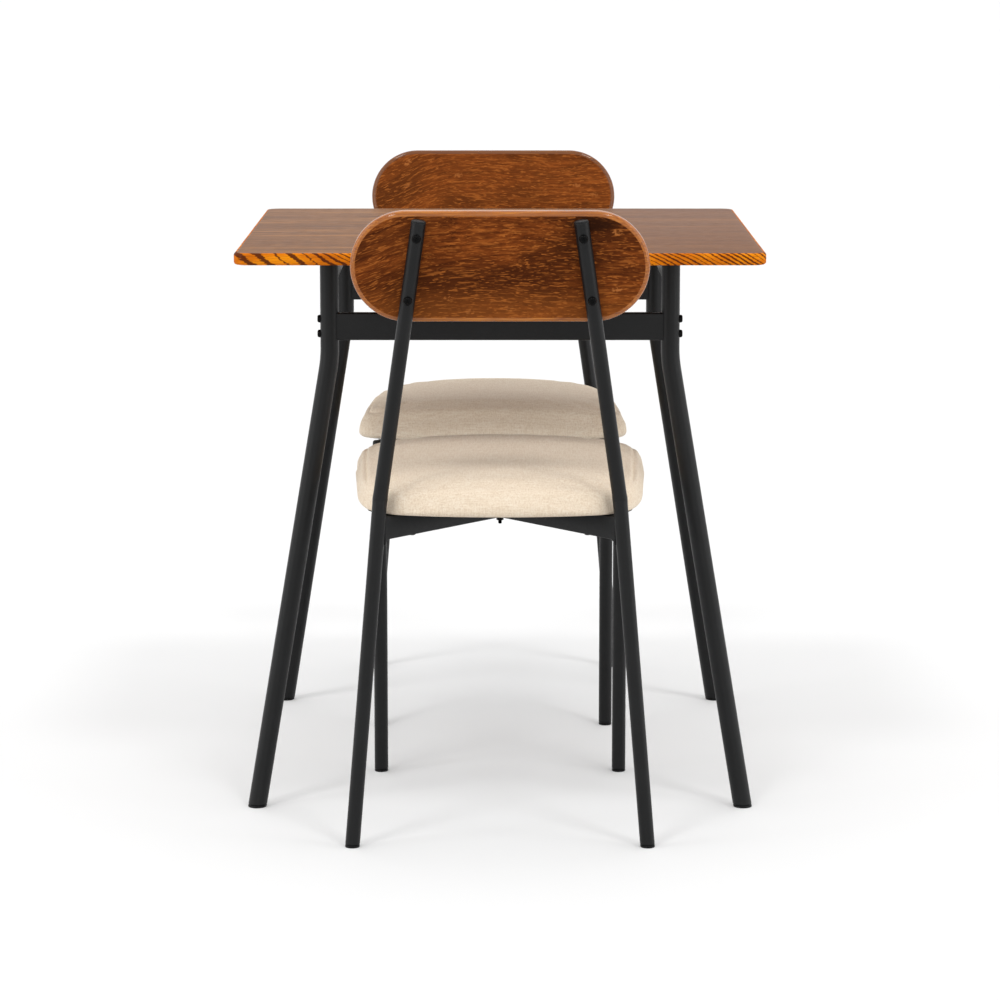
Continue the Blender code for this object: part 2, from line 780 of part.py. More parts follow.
def backrest_screws(side):
    """The two screws through one back tube into the backrest, as name and mesh."""
    length = 2 * TUBE_RADIUS + 2 * GAP + BACKREST_SCREW_BITE
    screw = button_screw(
        BACKREST_SCREW_HEAD_RADIUS, BACKREST_SCREW_HEAD_HEIGHT, BACKREST_SCREW_RADIUS, length
    )
    return [
        (name, moved(screw, along(point - NORMAL * (TUBE_RADIUS + GAP), NORMAL)))
        for name, point in zip(("lower_screw", "upper_screw"), backrest_screw_points(side))
    ]


# Seat


def seat_forward():
    """How far the seat's middle stands forward of the chair's: the back tubes press into its rear corners."""
    post = back_point(1, SEAT_BASE + CUSHION_BULGE_HEIGHT)
    across = post.x / (SEAT_REAR_WIDTH / 2)
    reach = SEAT_DEPTH / 2 - SEAT_REAR_BOW * across**2
    return post.y + TUBE_RADIUS + SEAT_TUBE_CLEARANCE - SEAT_TUBE_PRESS + reach


def seat_outline(half_width, half_depth, radius):
    """A rounded rectangle about its middle, with more points on its edges towards the corners."""
    signs = ((1, 1), (-1, 1), (-1, -1), (1, -1))
    corners = []
    for quarter, (sign_x, sign_y) in enumerate(signs):
        middle = Vector((sign_x * (half_width - radius), sign_y * (half_depth - radius)))
        turns = [(quarter + k / SEAT_CORNER_STEPS) * math.pi / 2 for k in range(SEAT_CORNER_STEPS + 1)]
        corners.append([middle + radius * Vector((math.cos(turn), math.sin(turn))) for turn in turns])
    points = []
    for corner, following in zip(corners, [*corners[1:], corners[0]]):
        points.extend(corner)
        for k in range(1, SEAT_EDGE_STEPS):
            share = (1 - math.cos(math.pi * k / SEAT_EDGE_STEPS)) / 2
            points.append(corner[-1].lerp(following[0], share))
    return points


def seat_ring(inset, height, slope=0.0, crown=0.0):
    """A ring of the seat's plan, drawn in by inset: wider at the front, its front and rear edges bowed.
    The rear edge gives way at the back tubes. crown is what the ring rises by towards the seat's middle."""
    full_width = (SEAT_FRONT_WIDTH + SEAT_REAR_WIDTH) / 4
    full_depth = SEAT_DEPTH / 2
    half_width, half_depth = full_width - inset, full_depth - inset
    radius = min(SEAT_CORNER_RADIUS + inset / 2, 0.9 * min(half_width, half_depth))
    post = back_point(1, SEAT_BASE + CUSHION_BULGE_HEIGHT)
    middle = seat_forward()
    fade = max(0.0, 1 - inset / SEAT_PRESS_FADE)
    ring = []
    for x, y in seat_outline(half_width, half_depth, radius):
        across, depthwise = x / full_width, y / full_depth
        rise = crown * (1 - across**2) * (1 - depthwise**6)
        x += across * (SEAT_FRONT_WIDTH - SEAT_REAR_WIDTH) / 4 * depthwise
        x -= across * SEAT_SIDE_DRAW * (1 - depthwise**2)
        if y > 0:
            y -= SEAT_FRONT_BOW * across**2 * depthwise
        else:
            aside = (abs(x) - post.x) / SEAT_PRESS_WIDTH
            y -= SEAT_REAR_BOW * across**2 * depthwise
            y += SEAT_TUBE_PRESS * fade * math.exp(-(aside**2)) * depthwise**2
        ring.append(Vector((x, middle + y, height + rise + slope * y)))
    return ring


def loft(rings):
    """A closed solid through the rings, with a flat face on the first and the last."""
    shape = bmesh.new()
    rows = [[shape.verts.new(point) for point in ring] for ring in rings]
    for lower, upper in zip(rows, rows[1:]):
        for k in range(len(lower)):
            following = (k + 1) % len(lower)
            shape.faces.new((lower[k], lower[following], upper[following], upper[k]))
    shape.faces.new(list(reversed(rows[0])))
    shape.faces.new(rows[-1])
    bmesh.ops.recalc_face_normals(shape, faces=shape.faces)
    result = bpy.data.meshes.new("loft")
    shape.to_mesh(result)
    shape.free()
    return result


def seat_holes(low, high):
    """Cutters for the seat screws between two heights."""
    hole = SEAT_SCREW_RADIUS + HOLE_CLEARANCE
    places = [*seat_screw_places(-1), *seat_screw_places(1)]
    return [rod((x, y, low), (x, y, high), hole, 8) for x, y in places]


def bolt_head_pocket(reach):
    """A cutter round the centre bolt's head, reaching up from the seat's underside."""
    x, y = crossing()
    return rod((x, y, COVER_BASE - reach), (x, y, COVER_BASE + reach), CENTRE_BOLT_HEAD_RADIUS + 2 * GAP)


def seat_board():
    board = loft([seat_ring(BOARD_INSET, SEAT_BASE), seat_ring(BOARD_INSET, SEAT_BASE + BOARD_THICKNESS)])
    pocket = bolt_head_pocket(CENTRE_BOLT_HEAD_HEIGHT + 2 * GAP)
    screw_top = ARM_TOP + 2 * GAP + COVER_THICKNESS + SEAT_SCREW_BITE
    return boolean(board, [pocket, *seat_holes(ARM_TOP, screw_top + GAP)])


def dust_cover():
    cover = loft([seat_ring(COVER_INSET, COVER_BASE), seat_ring(COVER_INSET, COVER_BASE + COVER_THICKNESS)])
    reach = 2 * COVER_THICKNESS
    return boolean(cover, [bolt_head_pocket(reach), *seat_holes(COVER_BASE - reach, COVER_BASE + reach)])


def seat_cushion():
    """The upholstered form: tucked in below, full low at the sides, seamed at the top edge and crowned."""
    recess = BOARD_INSET - GAP
    slope = SEAT_TOP_SLOPE
    rings = [
        seat_ring(recess, SEAT_BASE + BOARD_THICKNESS + GAP),
        seat_ring(recess, SEAT_BASE),
        seat_ring(CUSHION_TUCK, SEAT_BASE),
        seat_ring(CUSHION_TUCK * 0.3, SEAT_BASE + CUSHION_BULGE_HEIGHT * 0.3, slope * 0.1),
        seat_ring(0.0, SEAT_BASE + CUSHION_BULGE_HEIGHT, slope * 0.3),
        seat_ring(
            CUSHION_SHOULDER_INSET, SEAT_BASE + CUSHION_SHOULDER_HEIGHT, slope * 0.7, CUSHION_CROWN / 2
        ),
    ]
    for inset in (CUSHION_SEAM_INSET, *CUSHION_CROWN_INSETS):
        rings.append(seat_ring(inset, SEAT_BASE + CUSHION_SEAM_HEIGHT, slope, CUSHION_CROWN))
    return loft(rings)


def chair_meshes():
    """Every piece of one chair, as name, mesh and material."""
    pieces = [
        ("backrest", backrest(), "backrest_wood"),
        ("upper_arm", arm(1), "black_powder_coat"),
        ("lower_arm", arm(-1), "black_powder_coat"),
        ("centre_bolt", centre_bolt(), "black_fastener"),
        ("seat_board", seat_board(), "plywood"),
        ("seat_cushion", seat_cushion(), "beige_linen"),
        ("dust_cover", dust_cover(), "black_cloth"),
    ]
    for side, side_name in ((-1, "left_"), (1, "right_")):
        pieces.append((side_name + "back_tube", back_tube(side), "black_powder_coat"))
        pieces.append((side_name + "front_leg", front_leg(side), "black_powder_coat"))
        back_plug = chair_foot_plug(back_tube_path(side))
        front_plug = chair_foot_plug(front_leg_path(side))
        pieces.append((side_name + "back_foot_plug", back_plug, "black_plastic"))
        pieces.append((side_name + "front_foot_plug", front_plug, "black_plastic"))
        for name, screw in backrest_screws(side):
            pieces.append((side_name + name, screw, "black_fastener"))
    return pieces


def build_chairs():
    near = place_empty("near_chair_place", (0, -CHAIR_DISTANCE, 0))
    far = place_empty("far_chair_place", (FAR_CHAIR_SIDESTEP, CHAIR_DISTANCE, 0), math.pi)
    for name, mesh, material in chair_meshes():
        show(mesh, "near_chair_" + name, material, near)
        show(mesh, "far_chair_" + name, material, far)


build_table()
build_chairs()
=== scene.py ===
"""Dining table with two chairs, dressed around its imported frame.

Metres, +Z up. The near chair stands at -Y and faces +Y, the far chair faces it, and the table is between
them. Each piece of a chair is drawn once about the chair's own origin and then placed for both chairs.
"""

import json
from math import atan2, ceil, cos, exp, hypot, pi, radians, sin, sqrt, tan, tanh

import bmesh
import bpy
from mathutils import Matrix, Vector

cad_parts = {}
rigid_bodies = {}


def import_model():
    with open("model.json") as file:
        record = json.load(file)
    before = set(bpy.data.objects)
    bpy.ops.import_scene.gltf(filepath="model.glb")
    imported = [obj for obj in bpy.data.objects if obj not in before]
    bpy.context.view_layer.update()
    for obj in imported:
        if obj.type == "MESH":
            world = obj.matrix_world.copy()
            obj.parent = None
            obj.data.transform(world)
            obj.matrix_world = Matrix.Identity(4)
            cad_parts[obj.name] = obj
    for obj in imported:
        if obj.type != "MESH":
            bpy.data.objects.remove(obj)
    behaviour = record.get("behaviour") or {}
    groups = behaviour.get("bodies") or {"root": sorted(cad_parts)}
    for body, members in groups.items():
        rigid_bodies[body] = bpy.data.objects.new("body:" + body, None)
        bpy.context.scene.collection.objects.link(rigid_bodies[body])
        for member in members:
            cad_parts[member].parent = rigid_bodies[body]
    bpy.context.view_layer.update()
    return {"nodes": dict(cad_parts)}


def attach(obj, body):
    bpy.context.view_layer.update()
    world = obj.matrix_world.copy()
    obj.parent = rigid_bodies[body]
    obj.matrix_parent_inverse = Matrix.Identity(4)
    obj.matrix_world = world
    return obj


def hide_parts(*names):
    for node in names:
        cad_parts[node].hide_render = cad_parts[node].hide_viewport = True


for item in list(bpy.data.objects):
    bpy.data.objects.remove(item)

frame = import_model()

# Sizes that repeat the frame's
GAP = 0.0003
TABLE_PLACE = Matrix.Translation((0, -0.015, 0))
CHAIR_PLACES = {
    "near_chair": Matrix.Translation((0, -0.347, 0)),
    "far_chair": Matrix.Translation((-0.0105, 0.347, 0)) @ Matrix.Rotation(pi, 4, "Z"),
}
TABLE_SIZE = 0.7
TABLE_HEIGHT = 0.75
TOP_THICKNESS = 0.016
TOP_CORNER_RADIUS = 0.02
TOP_EDGE_RADIUS = 0.004
LEG_RADIUS = 0.0125
LEG_X = 0.2287
LEG_Y = 0.2472
LEG_SPLAY_X = 0.0988
LEG_SPLAY_Y = 0.0803
LEG_BEND_RADIUS = 0.15
LEG_BEND_HEIGHT = 0.5987
LEG_TOP = 0.7337
RAIL_BASE = 0.6977
RAIL_WIDTH = 0.016
RAIL_SCREWS = (-0.15, 0.0, 0.15)
BEAM_BASE = 0.6241
BEAM_HEIGHT = 0.0365
BEAM_WIDTH = 0.016
BOLT_HEAD_RADIUS = 0.0053
BOLT_HEAD_HEIGHT = 0.0035
BOLT_SPACING = 0.02
PLUG_FOOT = 0.0035
TUBE_RADIUS = 0.0095
BACK_FOOT_X = 0.1907
BACK_FOOT_Y = -0.204
BACK_BEND_X = 0.1536
BACK_BEND_Y = -0.169
BACK_BEND_HEIGHT = 0.45
BACK_BEND_RADIUS = 0.04
BACK_TOP_X = 0.1017
BACK_TOP_HEIGHT = 0.809
BACK_LEAN = radians(8.0)
FRONT_LEG_X = 0.1665
FRONT_FOOT_Y = 0.204
CAP_HEIGHT = 0.0025
FRONT_LEG_TOP = 0.424
BACKREST_WIDTH = 0.378
BACKREST_HEIGHT = 0.143
BACKREST_THICKNESS = 0.016
BACKREST_EDGE_RADIUS = 0.006
BACKREST_LEVEL = 0.7514
BACKREST_SCREW_LEVELS = (0.7107, 0.7897)
BACKREST_SCREW_HEAD_RADIUS = 0.0057
BACKREST_SCREW_HEAD_HEIGHT = 0.0036
ARM_TOP = 0.4265
ARM_BASE = 0.3965
ARM_WIDTH = 0.015
ARM_FILLET = 0.007
SEAT_SCREW_INSET = 0.066
SEAT_FRONT_WIDTH = 0.404
SEAT_REAR_WIDTH = 0.372
SEAT_DEPTH = 0.405
SEAT_CORNER_RADIUS = 0.03
SEAT_FRONT_BOW = 0.012
SEAT_REAR_BOW = 0.0345
SEAT_SIDE_DRAW = 0.002
SEAT_TUBE_CLEARANCE = 0.0018
SEAT_TUBE_PRESS = 0.0075
SEAT_PRESS_WIDTH = 0.016
SEAT_PRESS_FADE = 0.015
SEAT_BASE = 0.4281
SEAT_TOP_SLOPE = 0.034
BOARD_THICKNESS = 0.01
BOARD_INSET = 0.02
CUSHION_TUCK = 0.0055
CUSHION_BULGE_HEIGHT = 0.015
CUSHION_SHOULDER_HEIGHT = 0.025
CUSHION_SHOULDER_INSET = 0.003
CUSHION_SEAM_HEIGHT = 0.036
CUSHION_SEAM_INSET = 0.0095
CUSHION_CROWN = 0.0112
CROWN_AT_ENDS = 0.45
TOP_CORNER_DRAW = 0.007
TOP_CORNER_DROP = 0.005
REAR_CORNER_DRAW = 0.0145
FRONT_CORNER_DRAW = 0.0035

# Mesh fineness and small forms that only this model has
TUBE_SIDES = 40
SCREW_SIDES = 32
BEAD_SIDES = 8
BEAD_STEP = 0.0006
BEAD_RIPPLE = 0.18
BEAD_PITCH = 0.0022
TUBE_EASE = 0.0006
SOCKET_RADIUS = 0.0021
TUBE_OVERLAP = 0.004
BAR_ROUNDING = 0.0018
ARM_START = 0.0052
ARM_MIDDLE = (ARM_TOP + ARM_BASE) / 2
SHARP_ANGLE = radians(35.0)


# Shader nodes


def configure(item, settings):
    for key, value in settings.items():
        setattr(item, key, value)


def fill(tree, node, inputs):
    """Gives each of a node's inputs a value, or a link from another node's output."""
    for key, value in inputs.items():
        if isinstance(value, bpy.types.NodeSocket):
            tree.links.new(value, node.inputs[key])
        else:
            node.inputs[key].default_value = value


def add_node(tree, kind, inputs, **settings):
    node = tree.nodes.new("ShaderNode" + kind)
    configure(node, settings)
    fill(tree, node, inputs)
    return node


class Finish:
    """A material whose nodes are added one by one. Places on the surface are in metres."""

    def __init__(self, name, roughness, specular=0.5, coat=0.0, coat_roughness=0.1):
        self.material = bpy.data.materials.new(name)
        self.material.use_nodes = True
        self.tree = self.material.node_tree
        self.shader = self.tree.nodes["Principled BSDF"]
        fill(self.tree, self.shader, {"Roughness": roughness, "Specular IOR Level": specular})
        fill(self.tree, self.shader, {"Coat Weight": coat, "Coat Roughness": coat_roughness})
        self.place = self.tree.nodes.new("ShaderNodeTexCoord").outputs["Object"]
        self.base = None

    def add(self, kind, inputs, **settings):
        return add_node(self.tree, kind, inputs, **settings)

    def axes(self, place=None):
        return self.add("SeparateXYZ", {0: place or self.place}).outputs

    def combined(self, x, y, z):
        return self.add("CombineXYZ", {0: x, 1: y, 2: z}).outputs[0]

    def scaled(self, scale, place=None):
        """The place times a scale along each axis."""
        return self.add("VectorMath", {0: place or self.place, 1: scale}, operation="MULTIPLY").outputs[0]

    def shifted(self, place, offset):
        return self.add("VectorMath", {0: place, 1: offset}, operation="ADD").outputs[0]

    def noise(self, scale, place=None, detail=2.0, roughness=0.5):
        """Noise at the place times a scale along each axis."""
        inputs = {"Vector": self.scaled(scale, place), "Scale": 1.0, "Detail": detail, "Roughness": roughness}
        return self.add("TexNoise", inputs).outputs["Fac"]

    def math(self, operation, first, second=0.0, third=0.0):
        return self.add("Math", {0: first, 1: second, 2: third}, operation=operation).outputs[0]

    def times(self, first, second):
        return self.math("MULTIPLY", first, second)

    def plus(self, first, second):
        return self.math("ADD", first, second)

    def spread(self, value, low, high, to_low=0.0, to_high=1.0):
        """The value taken from low..high to to_low..to_high, smoothly and clamped."""
        inputs = {"Value": value, "From Min": low, "From Max": high, "To Min": to_low, "To Max": to_high}
        return self.add("MapRange", inputs, interpolation_type="SMOOTHSTEP").outputs[0]

    def ramp(self, value, *stops):
        """Starts the colour from a ramp through (position, red, green, blue) stops."""
        item = self.add("ValToRGB", {0: value})
        elements = item.color_ramp.elements
        while len(elements) < len(stops):
            elements.new(0.5)
        for element, (position, *colour) in zip(elements, stops):
            element.position = position
            element.color = (*colour, 1.0)
        self.base = item.outputs[0]

    def tint(self, share, *colour):
        """Lays a colour over the base by a share."""
        inputs = {0: share, 6: self.base, 7: (*colour, 1.0)}
        self.base = self.add("Mix", inputs, data_type="RGBA").outputs[2]

    def done(self, *bumps, rough=None):
        """Links the colour, the roughness, and bumps given as (height, depth in metres) layers."""
        inputs = {"Base Color": self.base}
        if rough:
            inputs["Roughness"] = rough
        for height, depth in bumps:
            layer = {"Height": height, "Strength": 1.0, "Distance": depth}
            if "Normal" in inputs:
                layer["Normal"] = inputs["Normal"]
            inputs["Normal"] = self.add("Bump", layer).outputs[0]
        fill(self.tree, self.shader, inputs)
        return self.material


def wavy(mat, reach, scale, fine_reach, fine_scale):
    """The place shifted across the grain by slow and quick noise, so that straight grain wanders."""
    slow = mat.noise((scale * 0.6, scale, scale))
    quick = mat.noise((fine_scale * 0.5, fine_scale, fine_scale), detail=1.0)
    shift = mat.math("MULTIPLY_ADD", slow, reach, -reach / 2)
    shift = mat.plus(shift, mat.math("MULTIPLY_ADD", quick, fine_reach, -fine_reach / 2))
    return mat.shifted(mat.place, mat.combined(0.0, shift, shift))


def dashes(mat, place, scale, wide, narrow, share):
    """Separate lens-shaped flecks, one to a cell, in a share of the cells."""
    cells = mat.add("TexVoronoi", {"Vector": mat.scaled(scale, place), "Scale": 1.0})
    chance = mat.add("SeparateColor", {0: cells.outputs["Color"]}).outputs[0]
    shown = mat.spread(chance, 1 - share - 0.1, 1 - share + 0.1)
    return mat.times(mat.spread(cells.outputs["Distance"], wide, narrow), shown)


def backrest_wood():
    """Stained oak veneer, its grain along X: dark clouds, wavy streaks, light flecks, rays and a knot, with
    painted light that lightens the far chair's backrest and the lower band of each backrest.
    """
    mat = Finish("backrest_wood", 0.46, specular=0.04)
    x, y, z = mat.axes()
    aside = mat.plus(x, 0.1)
    curve = mat.math("SQRT", mat.math("MULTIPLY_ADD", aside, aside, 0.0004))
    fall = mat.times(mat.math("SUBTRACT", curve, aside), 0.22)
    place = mat.shifted(wavy(mat, 0.03, 9.0, 0.003, 55.0), mat.combined(0.0, 0.0, fall))
    cloud = mat.noise((6, 17, 17), place, 4.0, 0.62)
    streaks = mat.noise((24, 270, 270), place, 4.0, 0.62)
    pores = mat.noise((110, 1300, 1300), place, 2.0, 0.6)
    long_flecks = mat.spread(mat.noise((34, 400, 400), place), 0.57, 0.68)
    short_flecks = mat.spread(mat.noise((105, 700, 700), place, 1.0), 0.58, 0.7)
    flecks = mat.math("MAXIMUM", mat.times(long_flecks, 0.75), short_flecks)
    rays = dashes(mat, mat.shifted(place, (0.3, 0.1, 0.2)), (38, 60, 70), 0.34, 0.2, 0.07)
    ragged = mat.spread(mat.noise((260, 330, 330)), 0.4, 0.6)
    knot = mat.scaled((29.0, 8.0, 105.0), mat.shifted(place, (-0.117, 0.56, -0.8035)))
    knot = mat.add("VectorMath", {0: knot}, operation="LENGTH").outputs["Value"]
    mat.ramp(streaks, (0.32, 0.072, 0.015, 0.0025), (0.5, 0.175, 0.04, 0.0064), (0.68, 0.31, 0.08, 0.013))
    mat.tint(mat.spread(cloud, 0.36, 0.6, 0.8, 0.0), 0.05, 0.011, 0.0023)
    mat.tint(mat.spread(pores, 0.5, 0.66, 0.0, 0.5), 0.048, 0.011, 0.0024)
    mat.tint(mat.times(flecks, 0.68), 0.47, 0.142, 0.026)
    mat.tint(mat.times(rays, mat.times(ragged, 0.8)), 0.52, 0.18, 0.045)
    mat.tint(mat.spread(knot, 0.45, 1.25, 0.88, 0.0), 0.022, 0.0055, 0.0015)
    # Painted light: the far chair's backrest, at +Y, is made lighter than the near one, as if better lit.
    mat.tint(mat.spread(y, -0.2, 0.2, 0.0, 0.14), 0.4, 0.115, 0.021)
    # Painted light: the lower band of each backrest is made lighter, as if lit from the floor below.
    mat.tint(mat.spread(z, 0.685, 0.735, 0.3, 0.0), 0.42, 0.125, 0.023)
    return mat.done((pores, 0.00012), (streaks, 0.00015), rough=mat.spread(pores, 0.35, 0.7, 0.42, 0.56))


def table_wood():
    """The top's veneer: long, quiet grey-brown streaks along X under a satin lacquer, darker to the right."""
    mat = Finish("table_wood", 0.42, specular=0.045)
    place = wavy(mat, 0.012, 4.0, 0.0008, 50.0)
    bands = mat.noise((1.6, 26, 26), place, 3.0, 0.55)
    streaks = mat.noise((7, 150, 150), place, 4.0, 0.6)
    pores = mat.noise((60, 1100, 1100), place, 2.0, 0.6)
    flecks = dashes(mat, place, (34, 260, 260), 0.5, 0.15, 0.5)
    mat.ramp(bands, (0.3, 0.152, 0.054, 0.0105), (0.5, 0.252, 0.098, 0.02), (0.7, 0.365, 0.152, 0.034))
    mat.tint(mat.spread(streaks, 0.4, 0.62, 0.76, 0.0), 0.105, 0.037, 0.0085)
    mat.tint(mat.times(flecks, 0.34), 0.44, 0.19, 0.052)
    mat.tint(mat.spread(mat.axes()[0], -0.15, 0.28, 0.0, 0.58), 0.14, 0.043, 0.008)
    mat.tint(mat.spread(pores, 0.5, 0.66, 0.0, 0.45), 0.095, 0.033, 0.009)
    return mat.done((pores, 0.0001), (streaks, 0.00008), rough=mat.spread(pores, 0.35, 0.7, 0.38, 0.5))


def growth_rings(mat, place):
    """Dark growth rings that cross an edge at a slant, with toothed sides, and close up to the right."""
    wide, close = 1 / 0.024, 1 / 0.01
    wide_lean, close_lean = 0.95, 0.5
    x, _, z = mat.axes(place)
    curve = mat.math("SQRT", mat.math("MULTIPLY_ADD", x, x, 0.0009))
    share = mat.math("MULTIPLY_ADD", mat.math("DIVIDE", x, curve), 0.5, 0.5)
    phase = mat.plus(mat.times(mat.plus(curve, x), (close - wide) / 2), mat.times(x, wide))
    steep = mat.math("MULTIPLY_ADD", share, close / close_lean - wide / wide_lean, wide / wide_lean)
    phase = mat.plus(phase, mat.times(z, steep))
    phase = mat.plus(phase, mat.times(mat.noise((13, 13, 30), place, 1.0), 1.9))
    phase = mat.plus(phase, mat.times(mat.noise((90, 90, 520), place, 2.0, 0.6), 0.55))
    uneven = mat.noise((1, 1, 1), mat.combined(phase, 0.37, 0.61), 0.0)
    width = mat.spread(uneven, 0.35, 0.65, 0.15 * 0.45, 0.15 * 1.5)
    return mat.spread(mat.math("SUBTRACT", mat.math("PINGPONG", phase, 0.5), width), -0.035, 0.05, 1.0, 0.0)


def table_edge():
    """The lacquered edge: amber, crossed by growth rings."""
    mat = Finish("table_edge", 0.3, specular=0.0, coat=0.14, coat_roughness=0.04)
    x, y, z = mat.axes()
    run = mat.plus(mat.math("MULTIPLY_ADD", y, 0.55, 0.43), x)
    rings = growth_rings(mat, mat.combined(run, y, mat.plus(z, -0.742)))
    fine = mat.noise((70, 70, 1300), None, 3.0, 0.6)
    glow = mat.noise((14, 14, 60))
    mat.ramp(glow, (0.32, 0.57, 0.128, 0.0012), (0.5, 0.77, 0.205, 0.0018), (0.68, 0.92, 0.305, 0.0045))
    mat.tint(mat.spread(fine, 0.45, 0.66, 0.0, 0.45), 0.36, 0.08, 0.002)
    mat.tint(mat.times(rings, 0.94), 0.09, 0.016, 0.0014)
    return mat.done((fine, 0.00006))


def backrest_edge():
    """The backrest's rounded rim: lighter wood, its grain along X, under a glossier lacquer, with painted
    shade that darkens the far chair's rim.
    """
    mat = Finish("backrest_edge", 0.34, specular=0.0, coat=0.85, coat_roughness=0.07)
    layers = mat.noise((16, 420, 420), wavy(mat, 0.01, 12.0, 0.0012, 90.0), 4.0, 0.65)
    patches = mat.noise((22, 30, 30))
    mat.ramp(layers, (0.32, 0.22, 0.054, 0.005), (0.5, 0.4, 0.117, 0.009), (0.66, 0.56, 0.19, 0.019))
    mat.tint(mat.spread(patches, 0.38, 0.62, 0.35, 0.0), 0.3, 0.098, 0.028)
    # Painted shade: the far chair's rim, at +Y, is made darker than the near one.
    mat.tint(mat.spread(mat.axes()[1], -0.2, 0.2, 0.0, 0.65), 0.075, 0.021, 0.006)
    return mat.done((layers, 0.00008))


def powder_coat():
    """Fine-textured black powder coat."""
    mat = Finish("powder_coat", 0.4, specular=0.25)
    grains = mat.noise((1500, 1500, 1500), None, 2.0, 0.6)
    peel = mat.noise((300, 300, 300))
    shade = mat.noise((30, 30, 30), None, 3.0)
    mat.ramp(shade, (0.35, 0.0026, 0.0028, 0.0031), (0.65, 0.004, 0.0043, 0.0047))
    mat.tint(mat.spread(grains, 0.58, 0.74, 0.0, 0.4), 0.026, 0.0268, 0.028)
    return mat.done((grains, 0.00008), (peel, 0.00006), rough=mat.spread(peel, 0.3, 0.7, 0.35, 0.45))


def black_fastener():
    """Black-oxide steel with a faint oily sheen."""
    mat = Finish("black_oxide", 0.16, specular=0.08)
    stains = mat.noise((700, 700, 700), None, 3.0)
    mat.ramp(stains, (0.35, 0.001, 0.001, 0.0011), (0.7, 0.003, 0.003, 0.0032))
    return mat.done((stains, 0.00002), rough=mat.spread(stains, 0.3, 0.7, 0.11, 0.2))


def black_plastic():
    """Moulded plastic with small scuffs."""
    mat = Finish("moulded_plastic", 0.42, specular=0.14)
    texture = mat.noise((2200, 2200, 2200))
    wear = mat.noise((420, 420, 420), None, 4.0, 0.7)
    mat.ramp(wear, (0.52, 0.0055, 0.0055, 0.006), (0.78, 0.04, 0.04, 0.041))
    return mat.done((texture, 0.00004), rough=mat.spread(wear, 0.35, 0.7, 0.32, 0.52))


def linen():
    """Plain-woven linen: crossing threads of uneven thickness, a finer weave between them, soft shading."""
    mat = Finish("linen", 0.95, specular=0.15)
    fill(mat.tree, mat.shader, {"Sheen Weight": 0.12, "Sheen Roughness": 0.5})

    def crossed(fine, coarse, detail, roughness):
        """The mean of noise drawn out along each axis in turn."""
        scales = ((coarse, fine, fine), (fine, coarse, fine), (fine, fine, coarse))
        first, second, third = (mat.noise(scale, None, detail, roughness) for scale in scales)
        return mat.times(mat.plus(mat.plus(first, second), third), 1 / 3)

    threads = crossed(560.0, 52.0, 2.0, 0.55)
    weave = crossed(1600.0, 260.0, 1.0, 0.5)
    soft = mat.noise((20, 20, 20))
    mat.ramp(threads, (0.4, 0.75, 0.61, 0.46), (0.5, 0.855, 0.725, 0.57), (0.6, 0.915, 0.81, 0.67))
    mat.tint(mat.spread(weave, 0.4, 0.6, 0.28, 0.0), 0.7, 0.555, 0.395)
    mat.tint(mat.spread(soft, 0.35, 0.65, 0.08, 0.0), 0.76, 0.61, 0.445)
    return mat.done((threads, 0.0005), (weave, 0.0003))


def black_cloth():
    """Thin non-woven cloth."""
    mat = Finish("black_cloth", 0.95, specular=0.15)
    fibres = mat.noise((900, 900, 300), None, 3.0, 0.7)
    mat.ramp(fibres, (0.35, 0.008, 0.008, 0.008), (0.7, 0.024, 0.024, 0.024))
    return mat.done((mat.noise((420, 420, 420), None, 0.0), 0.0003), (fibres, 0.0002))


def plywood():
    """Plies that show as bands along the height, with open grain."""
    mat = Finish("plywood", 0.7)
    grain = mat.noise((20, 300, 300), None, 4.0)
    mat.ramp(mat.noise((3, 3, 900), None, 0.0), (0.45, 0.46, 0.3, 0.15), (0.55, 0.62, 0.45, 0.26))
    mat.tint(mat.spread(grain, 0.4, 0.7, 0.0, 0.4), 0.32, 0.19, 0.09)
    return mat.done((grain, 0.0002))


MATERIALS = {
    "backrest_wood": backrest_wood(),
    "backrest_edge": backrest_edge(),
    "table_wood": table_wood(),
    "table_edge": table_edge(),
    "black_powder_coat": powder_coat(),
    "black_fastener": black_fastener(),
    "black_plastic": black_plastic(),
    "beige_linen": linen(),
    "black_cloth": black_cloth(),
    "plywood": plywood(),
}


# Meshes


def new_object(name, data):
    item = bpy.data.objects.new(name, data)
    bpy.context.scene.collection.objects.link(item)
    return item


def editable(*meshes):
    """A bmesh of the meshes together."""
    shape = bmesh.new()
    for mesh in meshes:
        shape.from_mesh(mesh)
    return shape


def stored(shape, mesh=None):
    """Writes a bmesh to the mesh, or to a new one, and frees it."""
    mesh = mesh or bpy.data.meshes.new("mesh")
    shape.to_mesh(mesh)
    shape.free()
    return mesh


def joined(*meshes):
    return stored(editable(*meshes))


def moved(mesh, matrix):
    copy = mesh.copy()
    copy.transform(matrix)
    return copy


def mesh_from(points, faces):
    mesh = bpy.data.meshes.new("mesh")
    mesh.from_pydata([tuple(point) for point in points], [], faces)
    shape = editable(mesh)
    bmesh.ops.recalc_face_normals(shape, faces=shape.faces)
    return stored(shape, mesh)


def evaluated(mesh, *modifiers):
    """The mesh after modifiers, each given as (type, settings)."""
    item = new_object("helper", mesh)
    for kind, settings in modifiers:
        configure(item.modifiers.new("step", kind), settings)
    graph = bpy.context.evaluated_depsgraph_get()
    graph.update()
    result = bpy.data.meshes.new_from_object(item.evaluated_get(graph))
    bpy.data.objects.remove(item)
    return result


def cut(mesh, *tools):
    helpers = [new_object("tool", tool) for tool in tools]
    steps = [("BOOLEAN", {"object": helper, "operation": "DIFFERENCE"}) for helper in helpers]
    result = evaluated(mesh, *steps)
    for helper in helpers:
        bpy.data.objects.remove(helper)
    return result


